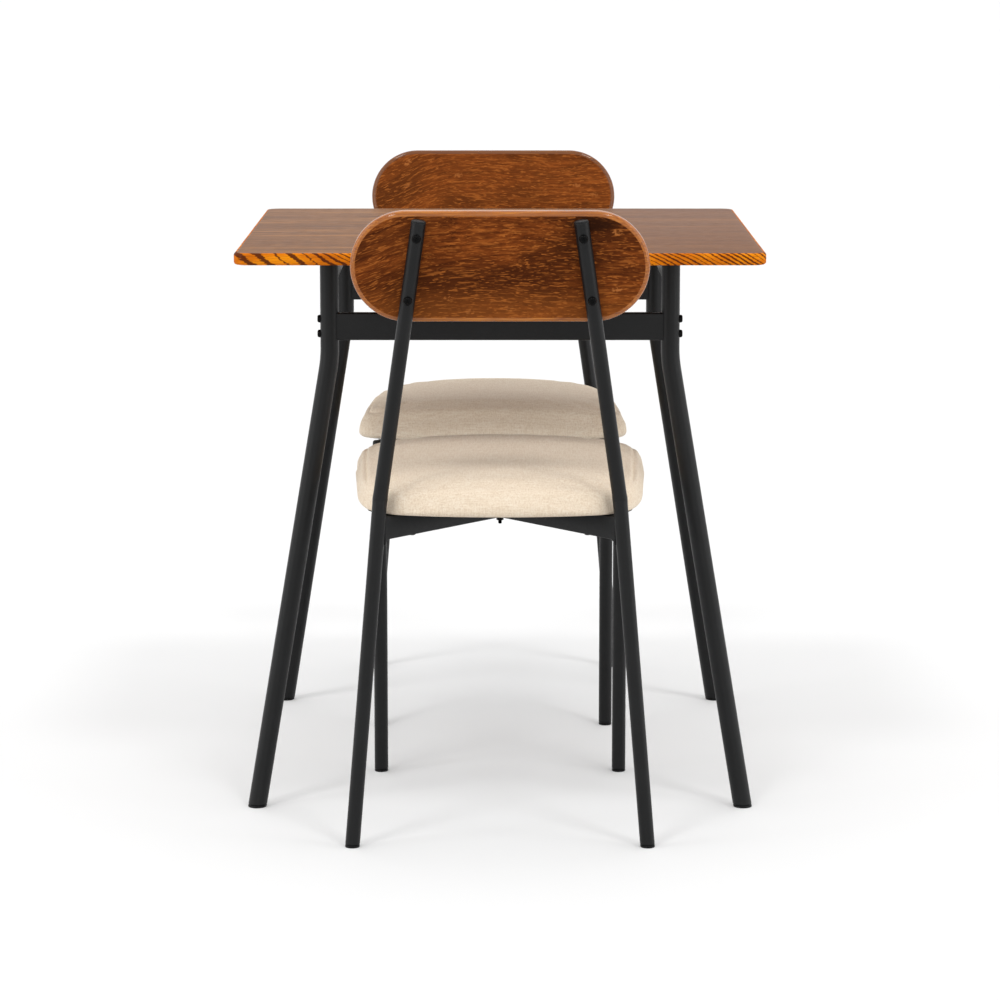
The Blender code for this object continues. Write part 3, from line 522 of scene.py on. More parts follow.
def rings_mesh(rings):
    """A skin through rings of equal length, with a flat face on each end."""
    count = len(rings[0])
    faces = []
    for low in range(0, (len(rings) - 1) * count, count):
        high = low + count
        for k in range(count):
            following = (k + 1) % count
            faces.append((low + k, low + following, high + following, high + k))
    faces.append(tuple(reversed(range(count))))
    faces.append(tuple(range((len(rings) - 1) * count, len(rings) * count)))
    return mesh_from([point for ring in rings for point in ring], faces)


def clamped(value):
    return max(0.0, min(1.0, value))


def circle(count):
    """The angles of points round a circle."""
    return [2 * pi * k / count for k in range(count)]


def lathe(profile, sides=SCREW_SIDES):
    """A solid turned about Z from (radius, height) points. The ends of the profile are closed."""
    turns = circle(sides)
    return rings_mesh([[(r * cos(t), r * sin(t), z) for t in turns] for r, z in profile])


def along(start, direction):
    """Takes Z to the direction, from a start."""
    turn = Vector(direction).to_track_quat("Z", "Y").to_matrix().to_4x4()
    return Matrix.Translation(start) @ turn


def box_mesh(low, high, rounding=0.0):
    size = Vector(high) - Vector(low)
    middle = (Vector(high) + Vector(low)) / 2
    shape = bmesh.new()
    bmesh.ops.create_cube(shape, size=1.0, matrix=Matrix.Translation(middle) @ Matrix.Diagonal((*size, 1.0)))
    if rounding:
        edges = list(shape.edges)
        bmesh.ops.bevel(shape, geom=edges, offset=rounding, segments=3, affect="EDGES", profile=0.5)
    return stored(shape)


def bent_path(start, corner, end, radius, steps):
    """The path from start to end, with an arc at the corner."""
    before = (start - corner).normalized()
    after = (end - corner).normalized()
    half_turn = (pi - before.angle(after)) / 2
    reach = radius * tan(half_turn)
    centre = corner + (before + after).normalized() * (radius / cos(half_turn))
    first = corner + before * reach - centre
    last = corner + after * reach - centre
    arc = [centre + first.slerp(last, k / steps).normalized() * radius for k in range(steps + 1)]
    return [start, *arc, end]


def with_steps_near(path, place, reach, step):
    """The path with more points on its straight runs within reach of a place."""
    result = [path[0]]
    for low, high in zip(path, path[1:]):
        count = ceil((high - low).length / step)
        between = [low.lerp(high, k / count) for k in range(1, count)]
        result += [point for point in between if (point - place).length < reach]
        result.append(high)
    return result


def bar(path, radius, dent=None):
    """A round bar along the path with eased ends, its foot cut level just above its plug.
    dent(point on the path, angle from the rear) gives what is added to the radius."""
    up = (path[-1] - path[-2]).normalized()
    down = (path[0] - path[1]).normalized()
    points = [path[0], path[0] - down * TUBE_EASE, *path[1:-1], path[-1] - up * TUBE_EASE, path[-1]]
    last = len(points) - 1
    rings = []
    for k, point in enumerate(points):
        if k == 0:
            tangent = -down
        elif k == last:
            tangent = up
        else:
            before, after = point - points[k - 1], points[k + 1] - point
            tangent = (before.normalized() + after.normalized()).normalized()
        rear = Vector((0, -1, 0))
        rear = (rear - tangent * rear.dot(tangent)).normalized()
        left = tangent.cross(rear)
        ring = []
        for turn in circle(TUBE_SIDES):
            size = radius - (TUBE_EASE if k in (0, last) else 0.0) + (dent(point, turn) if dent else 0.0)
            spot = point + (rear * cos(turn) + left * sin(turn)) * size
            if k < 2:
                height = PLUG_FOOT + GAP + TUBE_EASE * k
                spot += tangent * ((height - spot.z) / tangent.z)
            ring.append(spot)
        rings.append(ring)
    return rings_mesh(rings)


def bead(corners, radius):
    """A weld bead from corner to corner, with its small ripples."""
    corners = [Vector(corner) for corner in corners]
    points = []
    for low, high in zip(corners, corners[1:]):
        count = max(1, round((high - low).length / BEAD_STEP))
        points += [low.lerp(high, k / count) for k in range(count)]
    points.append(corners[-1])
    travelled = 0.0
    rings = []
    for k, point in enumerate(points):
        before = points[max(k - 1, 0)]
        after = points[min(k + 1, len(points) - 1)]
        tangent = (after - before).normalized()
        travelled += (point - before).length
        size = radius * (1 + BEAD_RIPPLE * sin(2 * pi * travelled / BEAD_PITCH))
        first = first - tangent * first.dot(tangent) if k else tangent.orthogonal()
        first = first.normalized()
        second = tangent.cross(first)
        turns = circle(BEAD_SIDES)
        rings.append([point + (first * cos(t) + second * sin(t)) * size for t in turns])
    return rings_mesh(rings)


# Pieces


def piece(name, mesh, body, slot, node, extra):
    """Shows the mesh as a piece on a body. slot names its material, and extra any others it carries."""
    mesh.shade_smooth()
    mesh.set_sharp_from_angle(angle=SHARP_ANGLE)
    for key in (slot, *extra):
        mesh.materials.append(MATERIALS[key])
    item = new_object(name, mesh)
    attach(item, body)
    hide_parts(node)
    return item


def table_piece(name, mesh, slot="black_powder_coat", extra=()):
    return piece("fine_" + name, moved(mesh, TABLE_PLACE), "table", slot, name, extra)


def chair_piece(name, mesh, slot="black_powder_coat", node=None, extra=()):
    """The piece on each chair. It replaces the node given, or else the one of its own name."""
    items = []
    for body, place in CHAIR_PLACES.items():
        own = f"{body}_{node or name}"
        items.append(piece(f"fine_{body}_{name}", moved(mesh, place), body, slot, own, extra))
    return items


def button_head(radius, height, skirt):
    """A domed head on Z = 0 that faces -Z, with a hexagonal socket and a skirt behind it."""
    profile = [(radius * 0.5, -height)]
    for k in range(7):
        turn = radians(72 - 12 * k)
        rise = max(height * sin(turn) ** 0.8, 0.0002)
        profile.append((radius * (0.5 + 0.5 * cos(turn) ** 0.8), -rise))
    profile += [(radius, -0.0001), (radius, skirt)]
    key = [(SOCKET_RADIUS, -height * 2), (SOCKET_RADIUS, -height * 0.35), (0.0004, -height * 0.15)]
    return cut(lathe(profile), lathe(key, 6))


def cross_head(profile, reach, half, floor):
    """A low head that faces -Z, with a cross slot cut down to the floor height."""
    slot = box_mesh((-reach, -half, -0.004), (reach, half, floor))
    return cut(lathe(profile), slot, moved(slot, Matrix.Rotation(pi / 2, 4, "Z")))


def foot_plug(radius, foot, direction):
    """A moulded foot whose sole is level below a leaning tube."""
    sole = [(radius * 0.72, 0.0), (radius - 0.0009, 0.0), (radius - 0.0003, 0.0003), (radius, 0.0009)]
    rim = [(radius, PLUG_FOOT - 0.0008), (radius - 0.0005, PLUG_FOOT - 0.0002)]
    neck = [(radius - 0.0012, PLUG_FOOT), (radius - 0.0016, PLUG_FOOT + 0.002)]
    slope = direction / direction.z
    shear = Matrix(((1, 0, slope.x, 0), (0, 1, slope.y, 0), (0, 0, 1, 0), (0, 0, 0, 1)))
    return moved(lathe([*sole, *rim, *neck], TUBE_SIDES), Matrix.Translation(foot) @ shear)


def rounded_panel(arcs, radius, sweep, steps, edge, edge_steps, low, high):
    """A flat panel with its edge rounded above and below. Its outline runs through arcs given as (centre x,
    centre y, first angle in degrees). The flat faces take the first material, and the edge the second."""
    levels = []
    for k in range(edge_steps + 1):
        turn = radians(90 * k / edge_steps)
        levels.append((edge * (1 - sin(turn)), edge * (1 - cos(turn))))
    under = [(inset, low + rise) for inset, rise in levels]
    over = [(inset, high - rise) for inset, rise in reversed(levels)]
    rings = []
    for inset, height in [*under, *over]:
        ring = []
        for x, y, first in arcs:
            for k in range(steps + 1):
                turn = radians(first + sweep * k / steps)
                out = (radius - inset) * Vector((cos(turn), sin(turn), 0.0))
                ring.append(Vector((x, y, height)) + out)
        rings.append(ring)
    mesh = rings_mesh(rings)
    for face in mesh.polygons:
        face.material_index = 0 if len(face.vertices) > 4 else 1
    return mesh


def table_top():
    reach = TABLE_SIZE / 2 - TOP_CORNER_RADIUS
    corners = [(reach, reach, 0), (-reach, reach, 90), (-reach, -reach, 180), (reach, -reach, 270)]
    low = TABLE_HEIGHT - TOP_THICKNESS
    return rounded_panel(corners, TOP_CORNER_RADIUS, 90, 12, TOP_EDGE_RADIUS, 6, low, TABLE_HEIGHT)


def leg_path(side, end):
    foot = Vector((side * (LEG_X + LEG_SPLAY_X), end * (LEG_Y + LEG_SPLAY_Y), 0.0))
    bend = Vector((side * LEG_X, end * LEG_Y, LEG_BEND_HEIGHT))
    top = Vector((side * LEG_X, end * LEG_Y, LEG_TOP))
    return bent_path(foot, bend, top, LEG_BEND_RADIUS, 24)


def rail_bead(side, end):
    """The weld between a side rail's end and a leg."""
    half = RAIL_WIDTH / 2 - 0.001
    low, high = RAIL_BASE + 0.001, LEG_TOP - 0.001
    x, y = side * LEG_X, end * (LEG_Y - sqrt(LEG_RADIUS**2 - half**2))
    below = (x, end * (LEG_Y - LEG_RADIUS), low)
    corners = [(x - half, y, high), (x - half, y, low), below, (x + half, y, low), (x + half, y, high)]
    return bead(corners, 0.0011)


def build_table():
    table_piece("table_top", table_top(), "table_wood", ["table_edge"])
    head = button_head(BOLT_HEAD_RADIUS, BOLT_HEAD_HEIGHT, 0.0015)
    pan = [(0.0021, -0.0016), (0.0033, -0.0011), (0.004, -0.0002), (0.004, 0.001)]
    screw = cross_head(pan, 0.0022, 0.0004, -0.0007)
    for side, side_name in ((-1, "left"), (1, "right")):
        x = side * LEG_X
        half = RAIL_WIDTH / 2
        reach = LEG_Y - LEG_RADIUS + TUBE_OVERLAP
        rail = box_mesh((x - half, -reach, RAIL_BASE), (x + half, reach, LEG_TOP), BAR_ROUNDING)
        screws = [moved(screw, Matrix.Translation((x, y, RAIL_BASE))) for y in RAIL_SCREWS]
        beads = [rail_bead(side, end) for end in (-1, 1)]
        table_piece(f"{side_name}_side_rail", joined(rail, *beads, *screws))
        for end, end_name in ((-1, "near"), (1, "far")):
            corner = f"{end_name}_{side_name}_"
            path = leg_path(side, end)
            table_piece(corner + "leg", bar(path, LEG_RADIUS))
            plug = foot_plug(LEG_RADIUS, path[0], path[1] - path[0])
            table_piece(corner + "foot_plug", plug, "black_plastic")
            middle = BEAM_BASE + BEAM_HEIGHT / 2
            for name, rise in (("lower", -BOLT_SPACING / 2), ("upper", BOLT_SPACING / 2)):
                seat = Vector((x + side * (LEG_RADIUS + GAP), end * LEG_Y, middle + rise))
                bolt = moved(head, along(seat, (-side, 0, 0)))
                table_piece(corner + name + "_bolt", bolt, "black_fastener")
    half = BEAM_WIDTH / 2
    reach = LEG_X - LEG_RADIUS + TUBE_OVERLAP
    top = BEAM_BASE + BEAM_HEIGHT
    for y, end_name in ((-LEG_Y, "near"), (LEG_Y, "far")):
        beam = box_mesh((-reach, y - half, BEAM_BASE), (reach, y + half, top), BAR_ROUNDING)
        table_piece(f"{end_name}_cross_beam", beam)


# Chair frame


def back_point(side, height):
    if height < BACK_BEND_HEIGHT:
        share = height / BACK_BEND_HEIGHT
        x = BACK_FOOT_X + (BACK_BEND_X - BACK_FOOT_X) * share
        y = BACK_FOOT_Y + (BACK_BEND_Y - BACK_FOOT_Y) * share
    else:
        share = (height - BACK_BEND_HEIGHT) / (BACK_TOP_HEIGHT - BACK_BEND_HEIGHT)
        x = BACK_BEND_X + (BACK_TOP_X - BACK_BEND_X) * share
        y = BACK_BEND_Y - (height - BACK_BEND_HEIGHT) * tan(BACK_LEAN)
    return Vector((side * x, y, height))


def back_tube(side):
    """The bent tube, slightly crushed on the inside of its bend, and its path."""
    foot, bend, top = (back_point(side, height) for height in (0.0, BACK_BEND_HEIGHT, BACK_TOP_HEIGHT))
    path = with_steps_near(bent_path(foot, bend, top, BACK_BEND_RADIUS, 12), bend, 0.02, 0.001)

    def crush(point, turn):
        away = (point - bend).length * (1 if point.z > bend.z else -1)
        near = exp(-((away / 0.0045) ** 2))
        sharp = exp(-((away / 0.0016) ** 2))
        lobes = exp(-(((min(turn, 2 * pi - turn) - 0.85) / 0.28) ** 2))
        return -0.00035 * near * cos(2 * turn) + 0.00045 * sharp * lobes

    return bar(path, TUBE_RADIUS, crush), path


def tube_cap():
    """A moulded cap on Z = 0, domed towards +Z, with the fine step round its rim."""
    rim = TUBE_RADIUS - 0.0004
    step = [(rim, -0.002), (rim, 0.0007), (rim - 0.0004, 0.0012)]
    dome = [(rim * 0.86, 0.0019), (rim * 0.6, 0.0023), (rim * 0.25, CAP_HEIGHT)]
    return lathe([*step, *dome], TUBE_SIDES)


def arm_ends(side):
    start = back_point(side, ARM_MIDDLE)
    return start, Vector((-side * FRONT_LEG_X, FRONT_FOOT_Y, ARM_MIDDLE))


def arm_frame(side):
    """Where an arm lies, with X along it, and its length."""
    start, end = arm_ends(side)
    span = end - start
    turn = Matrix.Rotation(atan2(span.y, span.x), 4, "Z")
    return Matrix.Translation((start.x, start.y, 0.0)) @ turn, span.length


def arm(side):
    """One crossed arm: rectangular tube with eased edges, a gusset fillet and a weld at each end."""
    place, length = arm_frame(side)
    other_place, other_length = arm_frame(-side)
    near = []
    for k in range(9):
        turn = radians(180 - 90 * k / 8)
        run = TUBE_RADIUS - 0.001 + ARM_FILLET * (1 + cos(turn))
        near.append((run, ARM_BASE - ARM_FILLET * (1 - sin(turn))))
    near.insert(0, (ARM_START, near[0][1]))
    far = [(length - x, z) for x, z in reversed(near)]
    outline = [*near, *far, (length - ARM_START, ARM_TOP), (ARM_START, ARM_TOP)]
    blank = rings_mesh([[(x, y, z) for x, z in outline] for y in (-ARM_WIDTH / 2, ARM_WIDTH / 2)])
    bevel = {"width": 0.0016, "segments": 3, "limit_method": "ANGLE", "angle_limit": radians(50)}
    blank = moved(evaluated(blank, ("BEVEL", bevel)), place)
    half = ARM_WIDTH / 2 + GAP
    lap = ARM_MIDDLE + side * GAP / 2
    low, high = (ARM_BASE - 0.02, lap) if side > 0 else (lap, ARM_TOP + 0.02)
    notch = moved(box_mesh((0.02, -half, low), (other_length - 0.02, half, high)), other_place)
    pieces = [cut(blank, notch)]
    y = ARM_WIDTH / 2 - 0.0006
    top, base = ARM_TOP - 0.0008, ARM_BASE - 0.004
    for x, turn in ((TUBE_RADIUS, 1), (length - TUBE_RADIUS, -1)):
        inner = x - turn * (TUBE_RADIUS - sqrt(TUBE_RADIUS**2 - y**2)) + turn * 0.0004
        corners = [(inner, -y, base), (inner, -y, top), (x, 0, top), (inner, y, top), (inner, y, base)]
        pieces.append(moved(bead(corners, 0.0009), place))
    pan = [(0.0023, -0.0021), (0.0038, -0.0016), (0.0047, -0.0004), (0.0047, 0.001)]
    screw = cross_head(pan, 0.0026, 0.0005, -0.0009)
    for x in (SEAT_SCREW_INSET, length - SEAT_SCREW_INSET):
        pieces.append(moved(screw, Matrix.Translation(place @ Vector((x, 0, ARM_BASE)))))
    return joined(*pieces)


def centre_bolt():
    """The threaded bolt through both arms, its head above, its washer and nut below."""
    start, end = arm_ends(1)
    place = start.lerp(end, start.x / (start.x - end.x))
    nut = lathe([(0.0042, -0.0053), (0.0048, -0.0047), (0.0048, -0.0013), (0.0043, -0.0008)], 6)
    washer = lathe([(0.0058, -0.001), (0.006, -0.0008), (0.006, 0.0)])
    profile = [(0.0018, -0.0099), (0.0024, -0.0093)]
    for k in range(6):
        profile += [(0.0021, -0.009 + k * 0.0006), (0.0025, -0.0087 + k * 0.0006)]
    stem = lathe([*profile, (0.0025, 0.03)])
    head = lathe([(0.0055, 0.0303), (0.0052, 0.0318), (0.003, 0.0325)])
    return moved(joined(nut, washer, stem, head), Matrix.Translation((place.x, place.y, ARM_BASE)))


def backrest_frame():
    offset = (TUBE_RADIUS + GAP + BACKREST_THICKNESS / 2) / cos(BACK_LEAN)
    place = Matrix.Translation((0, back_point(1, BACKREST_LEVEL).y + offset, BACKREST_LEVEL))
    return place @ Matrix.Rotation(BACK_LEAN - pi / 2, 4, "X")


def backrest():
    """The stadium panel against the back tubes."""
    half = BACKREST_HEIGHT / 2
    straight = BACKREST_WIDTH / 2 - half
    depth = BACKREST_THICKNESS / 2
    ends = [(straight, 0.0, -90), (-straight, 0.0, 90)]
    return moved(rounded_panel(ends, half, 180, 48, BACKREST_EDGE_RADIUS, 8, -depth, depth), backrest_frame())


def build_chair_frames():
    chair_piece("backrest", backrest(), "backrest_wood", extra=["backrest_edge"])
    chair_piece("centre_bolt", centre_bolt(), "black_fastener")
    chair_piece("upper_arm", arm(1))
    chair_piece("lower_arm", arm(-1))
    head = button_head(BACKREST_SCREW_HEAD_RADIUS, BACKREST_SCREW_HEAD_HEIGHT, 0.003)
    normal = Vector((0.0, cos(BACK_LEAN), sin(BACK_LEAN)))
    for side, name in ((-1, "left_"), (1, "right_")):
        tube, path = back_tube(side)
        chair_piece(name + "back_tube", tube)
        cap = moved(tube_cap(), along(path[-1], path[-1] - path[-2]))
        chair_piece(name + "back_cap", cap, "black_plastic", name + "back_tube")
        plug = foot_plug(TUBE_RADIUS, path[0], path[1] - path[0])
        chair_piece(name + "back_foot_plug", plug, "black_plastic")
        foot = Vector((side * FRONT_LEG_X, FRONT_FOOT_Y, 0.0))
        top = foot + Vector((0, 0, FRONT_LEG_TOP))
        chair_piece(name + "front_leg", bar([foot, top], TUBE_RADIUS))
        cap = moved(tube_cap(), Matrix.Translation(top))
        chair_piece(name + "front_cap", cap, "black_plastic", name + "front_leg")
        chair_piece(name + "front_foot_plug", foot_plug(TUBE_RADIUS, foot, top - foot), "black_plastic")
        for screw, level in zip(("lower_screw", "upper_screw"), BACKREST_SCREW_LEVELS):
            place = back_point(side, level) - normal * (TUBE_RADIUS + GAP)
            chair_piece(name + screw, moved(head, along(place, normal)), "black_fastener")


# Seat cushion


SEAT_HALF_WIDTH = (SEAT_FRONT_WIDTH + SEAT_REAR_WIDTH) / 4
SEAT_HALF_DEPTH = SEAT_DEPTH / 2
SEAT_POST = back_point(1, SEAT_BASE + CUSHION_BULGE_HEIGHT)
REAR_REACH = SEAT_HALF_DEPTH - SEAT_REAR_BOW * (SEAT_POST.x / (SEAT_REAR_WIDTH / 2)) ** 2
SEAT_FORWARD = SEAT_POST.y + TUBE_RADIUS + SEAT_TUBE_CLEARANCE - SEAT_TUBE_PRESS + REAR_REACH
SEAT_CELLS = 64
SEAM_RUN = (0.0, 0.0015, 0.003, 0.005, 0.0075, 0.01)
BOX_STEP = 0.0036
SEAM_DEPTH = 0.0026
SEAM_WIDTH = 0.0028
SEAM_REACH = 0.02
SEAM_SIDE = 0.165
SEAM_LEAST = 0.08
LIP_OFFSET = 0.0065
LIP_WIDTH = 0.003
SWELL_LIMIT = 0.004
SWELL_FRAMES = 20
SWELL_SETTINGS = {
    "quality": 4,
    "mass": 0.3,
    "tension_stiffness": 25.0,
    "compression_stiffness": 25.0,
    "shear_stiffness": 12.0,
    "bending_stiffness": 1.0,
    "use_pressure": True,
    "uniform_pressure_force": 4.0,
    "vertex_group_mass": "held",
}


def seat_ring_plan(inset):
    """A rounded rectangle as four sides with equal counts, each from the middle of one corner to the next."""
    half_x, half_y = SEAT_HALF_WIDTH - inset, SEAT_HALF_DEPTH - inset
    radius = min(SEAT_CORNER_RADIUS + inset / 2, 0.9 * min(half_x, half_y))
    ring = []
    for outward in (Vector((0, -1)), Vector((1, 0)), Vector((0, 1)), Vector((-1, 0))):
        onward = Vector((-outward.y, outward.x))
        reach, depth = (half_x, half_y) if outward.x == 0 else (half_y, half_x)
        arc = radius * pi / 4
        straight = 2 * (reach - radius)
        for k in range(SEAT_CELLS):
            step = (2 * arc + straight) * k / SEAT_CELLS
            if step < arc:
                turn, run = step / radius - pi / 4, -(reach - radius)
            elif step < arc + straight:
                turn, run = 0.0, step - arc - (reach - radius)
            else:
                turn, run = (step - arc - straight) / radius, reach - radius
            across = run + radius * sin(turn)
            out = depth - radius + radius * cos(turn)
            ring.append(onward * across + outward * out)
    return ring


def seat_point(plan, inset, height, slope=0.0, crown=0.0):
    """The plan's point on the seat: wider in front, bowed in front and behind, pressed in by the tubes."""
    x, y = plan
    across, depthwise = x / SEAT_HALF_WIDTH, y / SEAT_HALF_DEPTH
    rise = crown * (1 - across**2) * (1 - (1 - CROWN_AT_ENDS) * depthwise**6)
    lift = clamped((height - SEAT_BASE) / CUSHION_SEAM_HEIGHT)
    corner = (across * depthwise) ** 4
    rise -= TOP_CORNER_DROP * corner * lift
    x += across * (SEAT_FRONT_WIDTH - SEAT_REAR_WIDTH) / 4 * depthwise
    x -= across * SEAT_SIDE_DRAW * (1 - depthwise**2)
    x -= across * corner * TOP_CORNER_DRAW * lift**2
    if y > 0:
        x -= across**5 * depthwise**4 * FRONT_CORNER_DRAW
        y -= SEAT_FRONT_BOW * across**2 * depthwise + TOP_CORNER_DRAW * corner * lift**2
    else:
        x -= across**5 * (depthwise / 0.84) ** 4 * REAR_CORNER_DRAW
        aside = (abs(x) - SEAT_POST.x) / SEAT_PRESS_WIDTH
        fade = max(0.0, 1 - inset / SEAT_PRESS_FADE)
        y -= SEAT_REAR_BOW * across**2 * depthwise
        y += SEAT_TUBE_PRESS * fade * exp(-(aside**2)) * depthwise**2
    return Vector((x, SEAT_FORWARD + y, height + rise + slope * y))


def cushion_profile():
    """The side's section as (inset, height, slope share, crown share, distance below the seam) steps."""
    knots = [
        (CUSHION_SEAM_INSET + 0.012, CUSHION_SEAM_HEIGHT + 0.0002, 1.0, 1.0),
        (CUSHION_SEAM_INSET, CUSHION_SEAM_HEIGHT - 0.0028, 1.0, 1.0),
        (CUSHION_SHOULDER_INSET, CUSHION_SHOULDER_HEIGHT, 0.7, 0.5),
        (0.0, CUSHION_BULGE_HEIGHT, 0.3, 0.0),
        (CUSHION_TUCK * 0.3, CUSHION_BULGE_HEIGHT * 0.25, 0.1, 0.0),
        (CUSHION_TUCK, 0.0, 0.0, 0.0),
    ]
    ends = [knots[0], *knots, (CUSHION_TUCK + 0.006, -0.001, 0.0, 0.0)]
    dense = []
    for k in range(1, len(ends) - 2):
        before, low, high, after = (Vector(point) for point in ends[k - 1 : k + 3])
        for j in range(24):
            t = j / 24
            square = 2 * before - 5 * low + 4 * high - after
            cube = 3 * low - before - 3 * high + after
            dense.append(0.5 * (2 * low + (high - before) * t + square * t**2 + cube * t**3))
    dense.append(Vector(ends[-2]))
    travelled = [0.0]
    for low, high in zip(dense, dense[1:]):
        travelled.append(travelled[-1] + hypot(high[0] - low[0], high[1] - low[1]))
    seam = travelled[24]
    length = travelled[-1] - seam
    count = round((length - SEAM_RUN[-1]) / BOX_STEP)
    below = [SEAM_RUN[-1] + (length - SEAM_RUN[-1]) * k / count for k in range(1, count + 1)]
    stops = [-run for run in reversed(SEAM_RUN)] + list(SEAM_RUN[1:]) + below
    steps = []
    for stop in stops:
        k = 0
        while k < len(travelled) - 2 and travelled[k + 1] - seam < stop:
            k += 1
        share = (stop + seam - travelled[k]) / (travelled[k + 1] - travelled[k])
        steps.append((*dense[k].lerp(dense[k + 1], share), stop))
    return steps


def cushion_cage():
    """The cushion's coarse skin, each point's distance below the seam, and how firmly it is held."""
    points, below, held, faces = [], [], [], []
    steps = cushion_profile()
    rings = []
    for inset, height, slope, crown, stop in steps:
        rings.append(len(points))
        for plan in seat_ring_plan(inset):
            level = SEAT_BASE + height
            points.append(seat_point(plan, inset, level, slope * SEAT_TOP_SLOPE, crown * CUSHION_CROWN))
            below.append(stop)
            held.append(clamped((stop - steps[-4][4]) / (steps[-1][4] - steps[-4][4])))
    recess = BOARD_INSET - GAP
    ceiling = SEAT_BASE + BOARD_THICKNESS + GAP
    flat = [CUSHION_TUCK + 0.0008, CUSHION_TUCK + 0.004, recess - 0.0008, recess]
    upright = [SEAT_BASE + 0.0008, ceiling - 0.0008, ceiling]
    for inset, height in [*((inset, SEAT_BASE) for inset in flat), *((recess, height) for height in upright)]:
        rings.append(len(points))
        for plan in seat_ring_plan(inset):
            points.append(seat_point(plan, inset, height))
            below.append(0.1)
            held.append(1.0)
    count = 4 * SEAT_CELLS
    for low, high in zip(rings, rings[1:]):
        for k in range(count):
            following = (k + 1) % count
            faces.append((low + k, high + k, high + following, low + following))
    faces.append(tuple(rings[-1] + k for k in range(count)))
    rim = seat_ring_plan(steps[0][0])
    edges = [[rim[(side * SEAT_CELLS + k) % count] for k in range(SEAT_CELLS + 1)] for side in range(4)]
    rear, right, front, left = edges[0], edges[1], edges[2][::-1], edges[3][::-1]
    grid = []
    for j in range(SEAT_CELLS + 1):
        v = j / SEAT_CELLS
        row = []
        for i in range(SEAT_CELLS + 1):
            u = i / SEAT_CELLS
            if j == 0:
                row.append(i)
            elif i == SEAT_CELLS:
                row.append(SEAT_CELLS + j)
            elif j == SEAT_CELLS:
                row.append(3 * SEAT_CELLS - i)
            elif i == 0:
                row.append(4 * SEAT_CELLS - j)
            else:
                plan = rear[i] * (1 - v) + front[i] * v + left[j] * (1 - u) + right[j] * u
                near, far = rear[0] * (1 - u) + rear[-1] * u, front[0] * (1 - u) + front[-1] * u
                plan -= near * (1 - v) + far * v
                row.append(len(points))
                level = SEAT_BASE + steps[0][1]
                points.append(seat_point(plan, SEAT_PRESS_FADE, level, SEAT_TOP_SLOPE, CUSHION_CROWN))
                below.append(-0.1)
                held.append(0.0)
        grid.append(row)
    for low, high in zip(grid, grid[1:]):
        for i in range(SEAT_CELLS):
            faces.append((low[i], low[i + 1], high[i + 1], high[i]))
    return points, faces, below, held


def swollen(mesh, held):
    """The mesh after a short cloth simulation with air pressure inside, held where it meets the board."""
    scene = bpy.context.scene
    item = new_object("pad", mesh)
    group = item.vertex_groups.new(name="held")
    for index, weight in enumerate(held):
        if weight > 0:
            group.add([index], weight, "REPLACE")
    cloth = item.modifiers.new("cloth", "CLOTH")
    configure(cloth.settings, SWELL_SETTINGS)
    cloth.settings.effector_weights.gravity = 0.0
    cloth.point_cache.frame_start = 1
    cloth.point_cache.frame_end = SWELL_FRAMES
    for step in range(1, SWELL_FRAMES + 1):
        scene.frame_set(step)
    grown = item.evaluated_get(bpy.context.evaluated_depsgraph_get())
    moves = [after.co - before.co for before, after in zip(mesh.vertices, grown.to_mesh().vertices)]
    grown.to_mesh_clear()
    bpy.data.objects.remove(item)
    scene.frame_set(1)
    for vertex, move in zip(mesh.vertices, moves):
        if move.length > 0:
            vertex.co += move * (SWELL_LIMIT * tanh(move.length / SWELL_LIMIT) / move.length)
    return mesh


def subdivided(mesh):
    """The mesh subdivided once, apart from the flat many-sided face that rests on the board."""
    shape = editable(mesh)
    resting = [face for face in shape.faces if len(face.verts) > 4]
    bmesh.ops.delete(shape, geom=resting, context="FACES_ONLY")
    finer = evaluated(stored(shape, mesh), ("SUBSURF", {"levels": 1, "render_levels": 1}))
    shape = editable(finer)
    rim = [edge for edge in shape.edges if edge.is_boundary]
    bmesh.ops.holes_fill(shape, edges=rim, sides=0)
    bmesh.ops.recalc_face_normals(shape, faces=shape.faces)
    return stored(shape, finer)


def stitched(mesh):
    """Draws the skin in along the seam, most at the sides, with a soft lip above and below it."""
    below = mesh.attributes["below_seam"].data
    normals = [vertex.normal.copy() for vertex in mesh.vertices]
    for vertex, normal, distance in zip(mesh.vertices, normals, below):
        away = abs(distance.value)
        if away < SEAM_REACH:
            x, y, _ = vertex.co
            share = min(1.0, abs(x) / SEAM_SIDE) ** 6
            share *= clamped((y + 0.1) / 0.05) * clamped((0.205 - y) / 0.03)
            share = SEAM_LEAST + (1 - SEAM_LEAST) * share
            groove = SEAM_DEPTH * exp(-((away / SEAM_WIDTH) ** 2))
            lip = 0.25 * SEAM_DEPTH * exp(-(((away - LIP_OFFSET) / LIP_WIDTH) ** 2))
            vertex.co -= normal * share * (groove - lip)
    return mesh


def build_cushion():
    points, faces, below, held = cushion_cage()
    cage = swollen(mesh_from(points, faces), held)
    layer = cage.attributes.new("below_seam", "FLOAT", "POINT")
    layer.data.foreach_set("value", below)
    skin = stitched(subdivided(cage))
    for item in chair_piece("seat_cushion", skin, "beige_linen"):
        item.data.shade_smooth()


build_table()
build_chair_frames()
build_cushion()

for node, material in (("seat_board", "plywood"), ("dust_cover", "black_cloth")):
    for body in CHAIR_PLACES:
        item = frame["nodes"][f"{body}_{node}"]
        item.data.materials.clear()
        item.data.materials.append(MATERIALS[material])


# Studio


